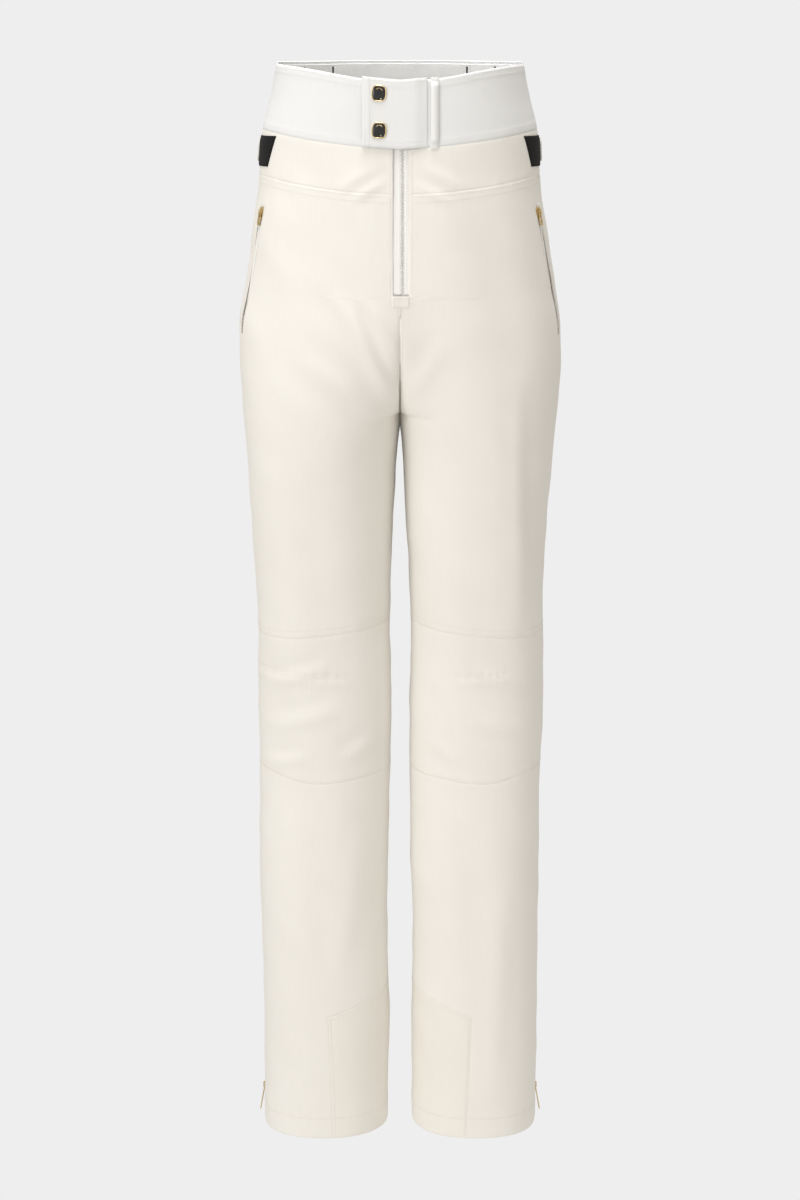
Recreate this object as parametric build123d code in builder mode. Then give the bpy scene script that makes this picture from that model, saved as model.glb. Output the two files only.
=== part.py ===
from build123d import *

# Ski pants with a high snap-fastened waistband, articulated knees and zipped hems.
# Frame: millimetres, +Z up, the front of the garment towards -Y, the wearer's left side at +X.
# The origin is on the centre line of the waist opening, 5 mm under the sides of the waistband's seam.
import os
from math import cos, pi, radians, sin

os.makedirs("parts", exist_ok=True)

# ---------------------------------------------------------------- driving sizes
CLOTH = 1.5  # wall of the outer fabric
AIR = 0.3  # room left between layers
WAIST_POWER = 2.3  # superellipse power of the hip sections
EDGE_ANGLE = radians(9)  # where a leg's outline starts, measured from its innermost point
LEG_X = 79.5  # centre of each leg
CROTCH_Z = -276
FOLD_TOP_Z = -150  # the hollow between the thighs starts here
HEM_Z = -1046
WIDE = 220  # half size of the blocks that cut panels out

# Rows of the body: height, half width at the side seam, front depth, back depth, inseam from x = 0
TRUNK = [
    (80, 121.0, 91.9, 89, 0),
    (0, 138.0, 97.5, 104, 0),
    (-50, 141.5, 101.0, 110, 0),
    (-110, 152.0, 105.2, 118, 0),
    (-150, 157.3, 108.0, 122, 0),
    (-190, 162.0, 109.5, 124, 0),
    (-230, 161.4, 108.5, 122, 0),
    (-255, 160.0, 106.5, 119, 0),
    (-268, 159.3, 105.0, 117, 0),
    (CROTCH_Z, 158.8, 104.0, 116, 0),
]
LEG = [
    (CROTCH_Z, 158.8, 104, 116, 0),
    (-320, 156.7, 98, 110, 3.6),
    (-380, 153.0, 90, 99, 6.6),
    (-460, 149.2, 80, 88, 8.6),
    (-580, 147.9, 70, 78, 10.5),
    (-740, 146.9, 68, 76, 12.0),
    (-900, 146.3, 67, 73, 12.8),
    (HEM_Z, 145.8, 66, 71, 13.0),
]
WAIST = TRUNK[:3]
FRONT_LEAN = 0.07  # the centre front slopes back by this much per mm of height

# Seams and edges: their heights at four distances from the centre line
SEAM_X = (0, 36, 90, 138)
RIM_FRONT = (51, 54.5, 64, 71)
RIM_BACK = (73, 73, 72, 71)
WAIST_FRONT = (-13.5, -10.5, -4, 5)
WAIST_BACK = (0, 0, 2, 5)
YOKE_FRONT = (-56, -54.5, -48.5, -39)
YOKE_BACK = (-62, -60, -50, -39)
KNEE_TOP = (-493, -496, -501, -504)
KNEE_BOTTOM = (-650, -653, -657, -647)
BELOW_HEM = (HEM_Z - 20,) * 4
LINING_DROP = 3  # the lining stops this far under the rim
LINING_WALL = 1.2

# Fly
FLY_SLOT = (-7, 9)  # the slot that shows the zip, a little off centre
FLY_END_Z = -154
FLY_PATCH_TALL = 11
CHAIN_X = 2.5
FLY_SLIDER_Z = 28
FLY_DEPTH = 3.4  # how far the chain lies under the outer surface
FLY_TRAVEL = 160
FLY_PATCH_WALL = 0.8
FLY_TAPE_DROP = 2  # the tapes stop this far under the rim
FLY_GUARD_GAP = 6  # the guard stops this far above the slot's end
FLY_PULL = (20, 5.5)  # length and width
GUARD_REACH = 19
GUARD_DEPTH = (6.5, 7.6)

# Waist tab and its two snaps
TAB_FREE_X = -36
TAB_SEWN_X = 26
TAB_TOP = 55
TAB_BOTTOM = -12
TAB_DEPTH = (-4.2, -2.4)
SNAP_X = -20
SNAP_Z = (40, 5)
SNAP_AIR = 0.15  # the flat snaps stand this far off the curved cloth
CAP_R = 7.8
CAP_TALL = 2.2
FACE_R = 5.9
FACE_THICK = 0.8
FACE_SUNK = 1.0  # floor of the cap's recess, under its top
CAP_FILLET = 0.7
SOCKET_R = 4.5
SOCKET_BORE_R = 2.0
SOCKET_TALL = 1.3
STUD_BASE_R = 5
STUD_R = 1.6
STUD_BASE_TALL = 0.5
STUD_TALL = 1.9
TAB_CORNER_R = 2

# Belt loops
LOOP_X = 33.5
BACK_LOOP_X = 62
LOOP_WIDTH = 8
LOOP_WALL = 1.2
LOOP_AIR = 2.0
LOOP_FOOT = 4
LOOP_ENDS = (-12.5, 55.5)  # heights of the front loop's ends
BACK_LOOP_ENDS = (3, 70)

# Side adjusters, as distances from the side seam (front negative) and heights
PATCH_OUTLINE = ((-54, -1), (-45, -31), (30, -31), (30, -1))
PATCH_WALL = 1.2
STRAP_FREE_Y = -3
STRAP_SEWN_Y = 62
STRAP_Z = (-27, -4)
STRAP_DEPTH = (-3.2, -1.7)
STRAP_CORNER = 5  # the free end's corners are cut off by this much

# Zips: every chain, tape, slider and pull has the same section
CHAIN_WIDE = 5.0
CHAIN_THICK = 2.4
TOOTH_PITCH = 3.0
TAPE_REACH = 9.5
TAPE_WALL = 0.6
SLIDER_WIDE = 8.8
SLIDER_LONG = 11.0
SLIDER_HALF = 2.6  # half the slider's thickness without its bail
POST_LONG = 3.0
BAIL_TOP = 5.2
BAIL_WALL = 1.6
PIN_OUT = 3.5  # hinge axis of the pull, out from the chain
PIN_R = 0.6
FORK_GAP = 2.2
FORK_WIDE = 4.8
FORK_REACH = 4.8
PULL_WALL = 1.2

# Pocket zips, near the side seams
POCKET_TOP = (138.6, -41.0, -76.0)  # where the slider's centre would touch the outer surface
POCKET_END = (158.4, -28.5, -200.0)
POCKET_OUT = (0.911, -0.411, 0.0)
ZIP_DEPTH = 3.2
POCKET_TRAVEL = 100
PULL_ROOM = 24  # the slot runs this far past the slider's lowest place, for its pull
POCKET_SLOT = 10
POCKET_PULL = (13, 6)
BAG_OUTLINE = ((60, -70), (150, -64), (175, -110), (175, -205), (130, -232), (72, -225))
BAG_DEPTH = (9.4, 11.4)

# Hem zips, in the side seams
HEM_SLIDER_Z = -1012
HEM_TRAVEL = 165
HEM_SLOT = 10
HEM_PULL_TILT = 10
HEM_PULL = (28, 6)

# Ankle guards and inner gaiters
GUARD_OUTLINE = ((-5, -887), (14, -889), (75.5, -911), (70.5, HEM_Z - 20), (-5, HEM_Z - 20))
GAITER_TOP_Z = -815
GAITER_END_Z = -1030
GAITER_WALL = 1.2
GAITER_INSETS = (7, 11, 16)  # how far it is drawn in under its seam, above the ankle and at its end
GAITER_SEAM = 8
GAITER_CUFF = 60

# Crotch gusset: a diamond, as distances from the centre to its side and front corners
GUSSET_REACH = (12, 13.5)
GUSSET_CORNER_R = 2


# ---------------------------------------------------------------- body surface
def fold_share(z):
    """0 where the section is one round trunk, 1 where it is two thighs, along a quarter circle between."""
    t = min(1, max(0, (FOLD_TOP_Z - z) / (FOLD_TOP_Z - CROTCH_Z)))
    return 1 - (1 - t * t) ** 0.5


def outline(t, row, depth, leg):
    """A point of the left half's section: t is 0 at the inner front, 0.5 at the side, 1 at the inner back.

    The distance forward is a blend of a superellipse for the trunk and an ellipse for the leg.
    """
    z, half, front, back, gap = row
    share = 1 if leg else fold_share(z)
    reach = (depth - front) if t < 0.5 else (back - depth)
    outer = half - depth
    edge = gap + depth if leg else max(0, depth) * share
    x = edge + (outer - edge) * (1 - cos(2 * pi * t)) / 2
    trunk = max(0, 1 - (x / outer) ** WAIST_POWER) ** (1 / WAIST_POWER)
    width = (LEG_X - edge) / cos(EDGE_ANGLE) if x < LEG_X else outer - LEG_X
    thigh = max(0, 1 - ((x - LEG_X) / width) ** 2) ** 0.5
    return (x, reach * ((1 - share) * trunk + share * thigh))


def sheet(rows, back, depth_out, depth_in, leg=False, points=9):
    """A curved sheet of cloth round the left half, front or back, between two depths under the surface."""
    start = 0.5 if back else 0
    steps = [start + 0.5 * i / (points - 1) for i in range(points)]
    seam, side = (1, 0) if back else (0, 1)
    with BuildPart() as made:
        for row in rows:
            with BuildSketch(Plane.XY.offset(row[0])):
                with BuildLine():
                    outer = Spline([outline(t, row, depth_out, leg) for t in steps])
                    inner = Spline([outline(t, row, depth_in, leg) for t in steps])
                    Line(outer @ side, inner @ side)
                    if leg:
                        corners = [((outer @ seam).X, 0), ((inner @ seam).X, 0)]
                        Polyline(outer @ seam, *corners, inner @ seam)
                    else:
                        Line(outer @ seam, inner @ seam)
                make_face()
        loft(ruled=True)
    return made.part


def row_at(z):
    """The trunk's row at any height above the crotch, between the two nearest given rows."""
    above = [row for row in TRUNK if row[0] >= z][-1]
    below = [row for row in TRUNK if row[0] <= z][0]
    share = 0 if above[0] == below[0] else (above[0] - z) / (above[0] - below[0])
    return [a + share * (b - a) for a, b in zip(above, below)]


def front_y(x, z, depth=0):
    """How far forward the waist's front lies at x and z, at a depth under its surface."""
    row = row_at(z)
    ratio = (abs(x) / (row[1] - depth)) ** WAIST_POWER
    return -(row[2] - depth) * (1 - ratio) ** (1 / WAIST_POWER)


def seam_line(heights):
    """A seam seen from the front: a smooth line, level at the centre, as points from left to right."""
    past_centre = [(-x, z) for x, z in zip(SEAM_X[1:2], heights[1:2])]
    return past_centre + list(zip(SEAM_X, heights))


def between(low, high):
    """The block between two seams, over the left half and a little past the centre line."""
    with BuildPart() as block:
        with BuildSketch(Plane.XZ):
            with BuildLine():
                top = Spline(seam_line(high))
                bottom = Spline(seam_line(low))
                Line(top @ 0, bottom @ 0)
                Polyline(top @ 1, (WIDE, high[3]), (WIDE, low[3]), bottom @ 1)
            make_face()
        extrude(amount=WIDE, both=True)
    return block.part


def box_between(low, high):
    """A plain block from its lowest corner to its highest."""
    size = [b - a for a, b in zip(low, high)]
    centre = [(a + b) / 2 for a, b in zip(low, high)]
    with BuildPart() as block:
        with Locations(tuple(centre)):
            Box(*size)
    return block.part


def prism(plane, points, reach):
    """The block seen as this outline on a plane, reaching both ways from it."""
    with BuildPart() as block:
        with BuildSketch(plane):
            with BuildLine():
                Polyline(*points, close=True)
            make_face()
        extrude(amount=reach, both=True)
    return block.part


def panel(solid, keep=None, remove=()):
    """A cut panel: the solid kept inside one block and cleared of the others."""
    with BuildPart() as cut:
        add(solid)
        if keep:
            add(keep, mode=Mode.INTERSECT)
        for block in remove:
            add(block, mode=Mode.SUBTRACT)
    return cut.part


def joined(*solids):
    """Solids fused into one part."""
    with BuildPart() as whole:
        for solid in solids:
            add(solid)
    return whole.part


def mirrored(solid):
    """The same piece on the wearer's right."""
    return solid.mirror(Plane.YZ)


def finish(name, part):
    """Labels a finished piece and writes its STEP file."""
    part.label = name
    export_step(part, f"parts/{name}.step")


def finish_pair(name, left):
    """Writes a piece of the wearer's left side and its mirror image."""
    finish(f"{name}_left", left)
    finish(f"{name}_right", mirrored(left))


# ---------------------------------------------------------------- zip makers
def zip_plane(origin, up, out):
    """The plane of a zip: x across the chain, y along it towards up, z out of the garment."""
    along = Vector(*up).normalized()
    outward = Vector(*out)
    outward = (outward - along * outward.dot(along)).normalized()
    return Plane(origin=origin, x_dir=along.cross(outward), z_dir=outward)


def zip_tapes(plane, low, high):
    """The two woven tapes beside a chain."""
    wide = TAPE_REACH - CHAIN_WIDE / 2
    with BuildPart() as tapes:
        with BuildSketch(plane.offset(-TAPE_WALL / 2)):
            with Locations((0, (low + high) / 2)):
                with GridLocations(CHAIN_WIDE + wide, 0, 2, 1):
                    Rectangle(wide, high - low)
        extrude(amount=TAPE_WALL)
    return tapes.part


def zip_teeth(plane, low, high):
    """A closed chain: a core with a row of moulded teeth along it."""
    count = int((high - low) / TOOTH_PITCH)
    middle = (low + high) / 2
    with BuildPart() as chain:
        with BuildSketch(plane.offset(-CHAIN_THICK / 4)):
            with Locations((0, middle)):
                Rectangle(CHAIN_WIDE - 2, count * TOOTH_PITCH)
        extrude(amount=CHAIN_THICK / 2)
        with BuildSketch(plane.offset(-CHAIN_THICK / 2)):
            with Locations((0, middle)):
                with GridLocations(0, TOOTH_PITCH, 1, count):
                    Rectangle(CHAIN_WIDE, TOOTH_PITCH * 0.6)
        extrude(amount=CHAIN_THICK)
    return chain.part


def zip_slider(plane, post_side=1):
    """A slider: two plates round the chain, joined by a post at one end, with a bail for the pull."""
    side_view = Plane(origin=plane.origin, x_dir=plane.y_dir, z_dir=plane.x_dir)
    with BuildPart() as slider:
        with BuildSketch(plane.offset(-SLIDER_HALF)):
            RectangleRounded(SLIDER_WIDE, SLIDER_LONG, 2)
        extrude(amount=2 * SLIDER_HALF)
        with BuildSketch(plane.offset(-CHAIN_THICK / 2 - AIR)):
            with Locations((0, -post_side * POST_LONG)):
                Rectangle(CHAIN_WIDE + 2 * AIR, SLIDER_LONG)
        extrude(amount=CHAIN_THICK + 2 * AIR, mode=Mode.SUBTRACT)
        with BuildSketch(plane.offset(-TAPE_WALL / 2 - AIR)):
            with GridLocations(SLIDER_WIDE, 0, 2, 1):
                Rectangle(SLIDER_WIDE - CHAIN_WIDE + 2 * AIR, SLIDER_LONG + 2)
        extrude(amount=TAPE_WALL + 2 * AIR, mode=Mode.SUBTRACT)
        with BuildSketch(side_view):
            with BuildLine():
                Polyline((4, SLIDER_HALF - 0.5), (4, SLIDER_HALF + 1), (2.6, BAIL_TOP), (0, BAIL_TOP))
                mirror(about=Plane.YZ)
                Line((-4, SLIDER_HALF - 0.5), (4, SLIDER_HALF - 0.5))
            make_face()
            with Locations((0, PIN_OUT)):
                SlotOverall(3.4, 1.8, mode=Mode.SUBTRACT)
        extrude(amount=BAIL_WALL / 2, both=True)
    return slider.part


def zip_pull(plane, hang=-1, tilt=0, length=22, width=6):
    """A pull: a forked plate with a finger slot, on a pin that passes under the slider's bail."""
    lean = radians(tilt)
    outward = plane.z_dir * cos(lean) - plane.y_dir * sin(lean) * hang
    turned = Plane(origin=plane.origin + plane.z_dir * PIN_OUT, x_dir=plane.x_dir, z_dir=outward)
    side_view = Plane(origin=turned.origin, x_dir=turned.y_dir, z_dir=turned.x_dir)
    with BuildPart() as pull:
        with BuildSketch(turned.offset(-PULL_WALL / 2)):
            with Locations((0, hang * FORK_REACH / 2)):
                Rectangle(FORK_WIDE, FORK_REACH)
                Rectangle(FORK_GAP, FORK_REACH, mode=Mode.SUBTRACT)
            with Locations((0, hang * (FORK_REACH + length) / 2)):
                RectangleRounded(width, length - FORK_REACH, 1.5)
            with Locations((0, hang * (FORK_REACH + length) / 2)):
                SlotOverall(length - FORK_REACH - 5, width * 0.4, rotation=90, mode=Mode.SUBTRACT)
        extrude(amount=PULL_WALL)
        with BuildSketch(side_view):
            Circle(PIN_R)
        extrude(amount=FORK_WIDE / 2, both=True)
    return pull.part


# ---------------------------------------------------------------- body sheets
trunk_front = sheet(TRUNK, False, 0, CLOTH)
trunk_back = sheet(TRUNK, True, 0, CLOTH)
leg_front = sheet(LEG, False, 0, CLOTH, leg=True)
leg_back = sheet(LEG, True, 0, CLOTH, leg=True)
half_front = joined(trunk_front, leg_front)
half_back = joined(trunk_back, leg_back)

fly_slot = box_between((FLY_SLOT[0], -WIDE, FLY_END_Z), (FLY_SLOT[1], 0, 100))
fly = zip_plane(
    (CHAIN_X, front_y(0, FLY_SLIDER_Z, FLY_DEPTH), FLY_SLIDER_Z), (0, FRONT_LEAN, 1), (0, -1, FRONT_LEAN)
)

pocket_up = Vector(*POCKET_TOP) - Vector(*POCKET_END)
pocket = zip_plane(POCKET_TOP, pocket_up, POCKET_OUT).offset(-ZIP_DEPTH)
pocket_low = -POCKET_TRAVEL - PULL_ROOM
with BuildPart() as pocket_slot:
    with BuildSketch(pocket):
        with Locations((0, (pocket_low + SLIDER_LONG) / 2)):
            Rectangle(POCKET_SLOT, SLIDER_LONG - pocket_low)
    extrude(amount=20, both=True)

hem_x = LEG[-1][1] - ZIP_DEPTH
hem = zip_plane((hem_x, 0, HEM_SLIDER_Z), (0, 0, 1), (1, 0, 0))
hem_low = HEM_Z - HEM_SLIDER_Z + 4
hem_high = HEM_TRAVEL + SLIDER_LONG
hem_slot = box_between(
    (LEG_X + 30, -HEM_SLOT / 2, HEM_Z - 20), (WIDE, HEM_SLOT / 2, HEM_SLIDER_Z + hem_high)
)

# ---------------------------------------------------------------- trunk and leg panels
front_yoke = panel(trunk_front, between(YOKE_FRONT, WAIST_FRONT))
finish("front_yoke_left", panel(front_yoke, remove=[fly_slot]))
finish("front_yoke_right", panel(mirrored(front_yoke), remove=[fly_slot]))

back_yoke = panel(trunk_back, between(YOKE_BACK, WAIST_BACK))
finish("back_yoke", joined(back_yoke, mirrored(back_yoke)))

front_panel = panel(half_front, between(KNEE_TOP, YOKE_FRONT), [pocket_slot.part])
finish("front_panel_left", panel(front_panel, remove=[fly_slot]))
finish("front_panel_right", panel(mirrored(front_panel), remove=[fly_slot]))
finish_pair("back_panel", panel(half_back, between(KNEE_TOP, YOKE_BACK)))

finish_pair("knee_panel", panel(leg_front, between(KNEE_BOTTOM, KNEE_TOP)))
finish_pair("back_knee", panel(leg_back, between(KNEE_BOTTOM, KNEE_TOP)))

guard_block = prism(Plane.XZ, GUARD_OUTLINE, WIDE)
lower_leg = between(BELOW_HEM, KNEE_BOTTOM)
finish_pair("shin_panel", panel(leg_front, lower_leg, [guard_block, hem_slot]))
finish_pair("calf_panel", panel(leg_back, lower_leg, [guard_block, hem_slot]))
finish_pair("ankle_guard", panel(joined(leg_front, leg_back), guard_block))

with BuildPart() as crotch_gusset:
    with BuildSketch(Plane.XY.offset(CROTCH_Z + AIR)):
        with BuildLine():
            side, front = GUSSET_REACH
            Polyline((side, 0), (0, front), (-side, 0), (0, -front), close=True)
        make_face()
        fillet(vertices(), GUSSET_CORNER_R)
    extrude(amount=CLOTH)
finish("crotch_gusset", crotch_gusset.part)

# ---------------------------------------------------------------- waistband
band_front = panel(sheet(WAIST, False, 0, CLOTH), between(WAIST_FRONT, RIM_FRONT))
band_back = panel(sheet(WAIST, True, 0, CLOTH), between(WAIST_BACK, RIM_BACK))
finish("waistband_front_left", panel(band_front, remove=[fly_slot]))
finish("waistband_front_right", panel(mirrored(band_front), remove=[fly_slot]))
finish("waistband_back", joined(band_back, mirrored(band_back)))

lining_depth = CLOTH + AIR
lining_top_front = [z - LINING_DROP for z in RIM_FRONT]
lining_top_back = [z - LINING_DROP for z in RIM_BACK]
lining_front = panel(
    sheet(WAIST, False, lining_depth, lining_depth + LINING_WALL), between(WAIST_FRONT, lining_top_front)
)
lining_back = panel(
    sheet(WAIST, True, lining_depth, lining_depth + LINING_WALL), between(WAIST_BACK, lining_top_back)
)
lining_gap = box_between(
    (CHAIN_X - TAPE_REACH - AIR, -WIDE, -100), (CHAIN_X + TAPE_REACH + AIR, 0, 100)
)
lining_half = joined(lining_front, lining_back)
finish("waistband_lining", panel(joined(lining_half, mirrored(lining_half)), remove=[lining_gap]))

# ---------------------------------------------------------------- waist tab and snaps
tab_sheet = sheet(WAIST, False, TAB_DEPTH[0], TAB_DEPTH[1])
with BuildPart() as tab_block:
    with BuildSketch(Plane.XZ):
        with Locations(((TAB_FREE_X + TAB_SEWN_X) / 2, (TAB_TOP + TAB_BOTTOM) / 2)):
            Rectangle(TAB_SEWN_X - TAB_FREE_X, TAB_TOP - TAB_BOTTOM)
        fillet(vertices().group_by(Axis.X)[0], TAB_CORNER_R)
    extrude(amount=WIDE, both=True)
finish("waist_tab", panel(joined(tab_sheet, mirrored(tab_sheet)), tab_block.part))


def snap_planes(depth):
    """The places of the snaps at a depth under the waist's surface, facing out of it."""
    slope = (front_y(SNAP_X + 1, 0) - front_y(SNAP_X - 1, 0)) / 2
    places = [(SNAP_X, front_y(SNAP_X, z, depth - SNAP_AIR), z) for z in SNAP_Z]
    return [Plane(origin=place, x_dir=(1, slope, 0), z_dir=(slope, -1, FRONT_LEAN)) for place in places]


with BuildPart() as snap_caps:
    with BuildSketch(*snap_planes(TAB_DEPTH[0])):
        Circle(CAP_R)
    extrude(amount=CAP_TALL)
    rims = snap_caps.edges().filter_by(GeomType.CIRCLE).group_by(Axis.Y)[0]
    fillet(rims, CAP_FILLET)
    with BuildSketch(*[plane.offset(CAP_TALL - FACE_SUNK) for plane in snap_planes(TAB_DEPTH[0])]):
        Circle(FACE_R)
    extrude(amount=CAP_TALL, mode=Mode.SUBTRACT)
finish("snap_caps", snap_caps.part)

with BuildPart() as snap_faces:
    with BuildSketch(*[plane.offset(CAP_TALL - FACE_SUNK) for plane in snap_planes(TAB_DEPTH[0])]):
        Circle(FACE_R)
    extrude(amount=FACE_THICK)
finish("snap_faces", snap_faces.part)

with BuildPart() as snap_sockets:
    with BuildSketch(*snap_planes(TAB_DEPTH[1] + 2 * SNAP_AIR)):
        Circle(SOCKET_R)
        Circle(SOCKET_BORE_R, mode=Mode.SUBTRACT)
    extrude(amount=-SOCKET_TALL)
finish("snap_sockets", snap_sockets.part)

with BuildPart() as snap_studs:
    with BuildSketch(*snap_planes(0)):
        Circle(STUD_BASE_R)
    extrude(amount=STUD_BASE_TALL)
    with BuildSketch(*snap_planes(0)):
        Circle(STUD_R)
    extrude(amount=STUD_TALL)
finish("snap_studs", snap_studs.part)


# ---------------------------------------------------------------- belt loops
def belt_loop(back, x, low, high):
    """A strip that stands off the waistband between its two sewn ends."""
    outer = -LOOP_AIR - LOOP_WALL
    strip = box_between((x - LOOP_WIDTH / 2, -WIDE, low), (x + LOOP_WIDTH / 2, WIDE, high))
    hollow = box_between((0, -WIDE, low + LOOP_FOOT), (WIDE, WIDE, high - LOOP_FOOT))
    air = panel(sheet(WAIST, back, -LOOP_AIR, 0), hollow)
    return panel(sheet(WAIST, back, outer, 0), strip, [air])


back_loop = belt_loop(True, BACK_LOOP_X, *BACK_LOOP_ENDS)
with BuildPart() as belt_loops:
    add(belt_loop(False, LOOP_X, *LOOP_ENDS))
    add(back_loop)
    add(mirrored(back_loop))
finish("belt_loops", belt_loops.part)

# ---------------------------------------------------------------- side adjusters
patch_sheet = joined(sheet(WAIST, False, -PATCH_WALL, 0), sheet(WAIST, True, -PATCH_WALL, 0))
finish_pair("adjuster_patch", panel(patch_sheet, prism(Plane.YZ, PATCH_OUTLINE, WIDE)))

strap_outline = (
    (STRAP_SEWN_Y, STRAP_Z[0]),
    (STRAP_SEWN_Y, STRAP_Z[1]),
    (STRAP_FREE_Y + STRAP_CORNER, STRAP_Z[1]),
    (STRAP_FREE_Y, STRAP_Z[1] - STRAP_CORNER),
    (STRAP_FREE_Y, STRAP_Z[0] + STRAP_CORNER),
    (STRAP_FREE_Y + STRAP_CORNER, STRAP_Z[0]),
)
strap_sheet = joined(sheet(WAIST, False, *STRAP_DEPTH), sheet(WAIST, True, *STRAP_DEPTH))
finish_pair("adjuster_strap", panel(strap_sheet, prism(Plane.YZ, strap_outline, WIDE)))

# ---------------------------------------------------------------- fly
fly_top = RIM_FRONT[0] - FLY_TAPE_DROP - FLY_SLIDER_Z
fly_low = FLY_END_Z - FLY_SLIDER_Z + 1
finish("fly_tapes", zip_tapes(fly, fly_low, fly_top))
finish("fly_teeth", zip_teeth(fly, fly_low, 1.5))
finish("fly_slider", zip_slider(fly))
finish("fly_pull", zip_pull(fly, length=FLY_PULL[0], width=FLY_PULL[1]))

guard_sheet = sheet(TRUNK[:5], False, *GUARD_DEPTH)
fly_guard_block = box_between(
    (CHAIN_X - GUARD_REACH, -WIDE, FLY_END_Z + FLY_GUARD_GAP),
    (CHAIN_X + GUARD_REACH, 0, RIM_FRONT[0] - LINING_DROP),
)
finish("fly_guard", panel(joined(guard_sheet, mirrored(guard_sheet)), fly_guard_block))

patch_block = box_between(
    (FLY_SLOT[0], -WIDE, FLY_END_Z - FLY_PATCH_TALL), (FLY_SLOT[1], 0, FLY_END_Z)
)
end_sheet = sheet(TRUNK, False, -FLY_PATCH_WALL, 0)
finish("fly_end_patch", panel(joined(end_sheet, mirrored(end_sheet)), patch_block))

# ---------------------------------------------------------------- pockets
finish_pair("pocket_tapes", zip_tapes(pocket, pocket_low, SLIDER_LONG - 2))
finish_pair("pocket_teeth", zip_teeth(pocket, pocket_low, 1.5))
finish_pair("pocket_slider", zip_slider(pocket))
finish_pair("pocket_pull", zip_pull(pocket, length=POCKET_PULL[0], width=POCKET_PULL[1]))

bag_sheet = sheet(TRUNK, False, *BAG_DEPTH)
finish_pair("pocket_bag", panel(bag_sheet, prism(Plane.XZ, BAG_OUTLINE, WIDE)))

# ---------------------------------------------------------------- hem zips
finish_pair("hem_tapes", zip_tapes(hem, hem_low - 3, hem_high - 2))
finish_pair("hem_teeth", zip_teeth(hem, -1.5, hem_high - 4))
finish_pair("hem_slider", zip_slider(hem, post_side=-1))
finish_pair("hem_pull", zip_pull(hem, tilt=HEM_PULL_TILT, length=HEM_PULL[0], width=HEM_PULL[1]))


# ---------------------------------------------------------------- inner gaiters
def drawn_in(z, inset):
    """The leg's row at a height, moved inwards all round."""
    above = [row for row in LEG if row[0] >= z][-1]
    below = [row for row in LEG if row[0] <= z][0]
    share = 0 if above[0] == below[0] else (above[0] - z) / (above[0] - below[0])
    half, front, back, gap = [a + share * (b - a) for a, b in zip(above[1:], below[1:])]
    return (z, half - inset, front - inset, back - inset, gap + inset)


gaiter_rows = [
    drawn_in(GAITER_TOP_Z, lining_depth),
    drawn_in(GAITER_TOP_Z - GAITER_SEAM, GAITER_INSETS[0]),
    drawn_in(GAITER_END_Z + GAITER_CUFF, GAITER_INSETS[1]),
    drawn_in(GAITER_END_Z, GAITER_INSETS[2]),
]
gaiter = joined(
    sheet(gaiter_rows, False, 0, GAITER_WALL, leg=True), sheet(gaiter_rows, True, 0, GAITER_WALL, leg=True)
)
finish_pair("gaiter", gaiter)
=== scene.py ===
"""Ski pants with a snapped waist tab: cloth, sewing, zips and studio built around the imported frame.

Sizes are in millimetres in the garment's own frame and become metres when a mesh is made. The front of the
garment faces -Y and the wearer's left is +X.
"""
import logging
import math
from dataclasses import dataclass, field
from enum import Enum
from typing import Callable

import bpy
import numpy as np
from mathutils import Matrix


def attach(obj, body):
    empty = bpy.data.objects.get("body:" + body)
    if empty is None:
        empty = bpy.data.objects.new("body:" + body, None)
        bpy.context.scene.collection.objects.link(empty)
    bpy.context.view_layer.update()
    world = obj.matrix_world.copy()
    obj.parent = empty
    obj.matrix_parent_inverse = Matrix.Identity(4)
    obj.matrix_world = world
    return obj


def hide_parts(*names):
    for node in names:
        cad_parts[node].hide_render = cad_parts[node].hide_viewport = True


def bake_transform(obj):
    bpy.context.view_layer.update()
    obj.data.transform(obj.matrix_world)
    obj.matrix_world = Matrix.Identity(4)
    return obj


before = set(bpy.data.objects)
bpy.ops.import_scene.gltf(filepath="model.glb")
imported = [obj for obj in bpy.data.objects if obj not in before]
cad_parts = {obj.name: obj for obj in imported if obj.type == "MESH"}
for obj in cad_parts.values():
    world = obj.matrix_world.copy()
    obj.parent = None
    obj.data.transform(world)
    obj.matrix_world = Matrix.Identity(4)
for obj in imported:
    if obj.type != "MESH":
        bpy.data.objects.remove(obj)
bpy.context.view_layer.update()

LOG = logging.getLogger("ski_pants")
MM = 0.001
Array = np.ndarray


class Side(Enum):
    """The wearer's left or right half of the garment."""

    LEFT = 1
    RIGHT = -1

    @property
    def word(self) -> str:
        """The half's name as it stands at the end of a node's name."""
        return self.name.lower()


# ---------------------------------------------------------------- small numeric helpers
def smooth_lookup(at: Array, places: Array, values: Array) -> Array:
    """Reads a smooth curve through given values, without overshoot.

    Between two places the curve is a cubic whose end slopes are the harmonic means of the slopes beside them.

    Args:
        at: Where to read the curve.
        places: Rising places of the known values.
        values: The known values.

    Returns:
        The curve's value at each place asked for.
    """
    gap = np.diff(places)
    rise = np.diff(values) / gap
    slope = np.zeros(len(places))
    same_way = rise[:-1] * rise[1:] > 0
    mean = 2 * rise[:-1] * rise[1:] / np.where(same_way, rise[:-1] + rise[1:], 1)
    slope[1:-1] = np.where(same_way, mean, 0)
    slope[0], slope[-1] = rise[0], rise[-1]
    at = np.clip(at, places[0], places[-1])
    i = np.clip(np.searchsorted(places, at, side="right") - 1, 0, len(gap) - 1)
    t = (at - places[i]) / gap[i]
    h00 = (1 + 2 * t) * (1 - t) ** 2
    h10 = t * (1 - t) ** 2
    h01 = t * t * (3 - 2 * t)
    h11 = t * t * (t - 1)
    return h00 * values[i] + h10 * gap[i] * slope[i] + h01 * values[i + 1] + h11 * gap[i] * slope[i + 1]


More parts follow.
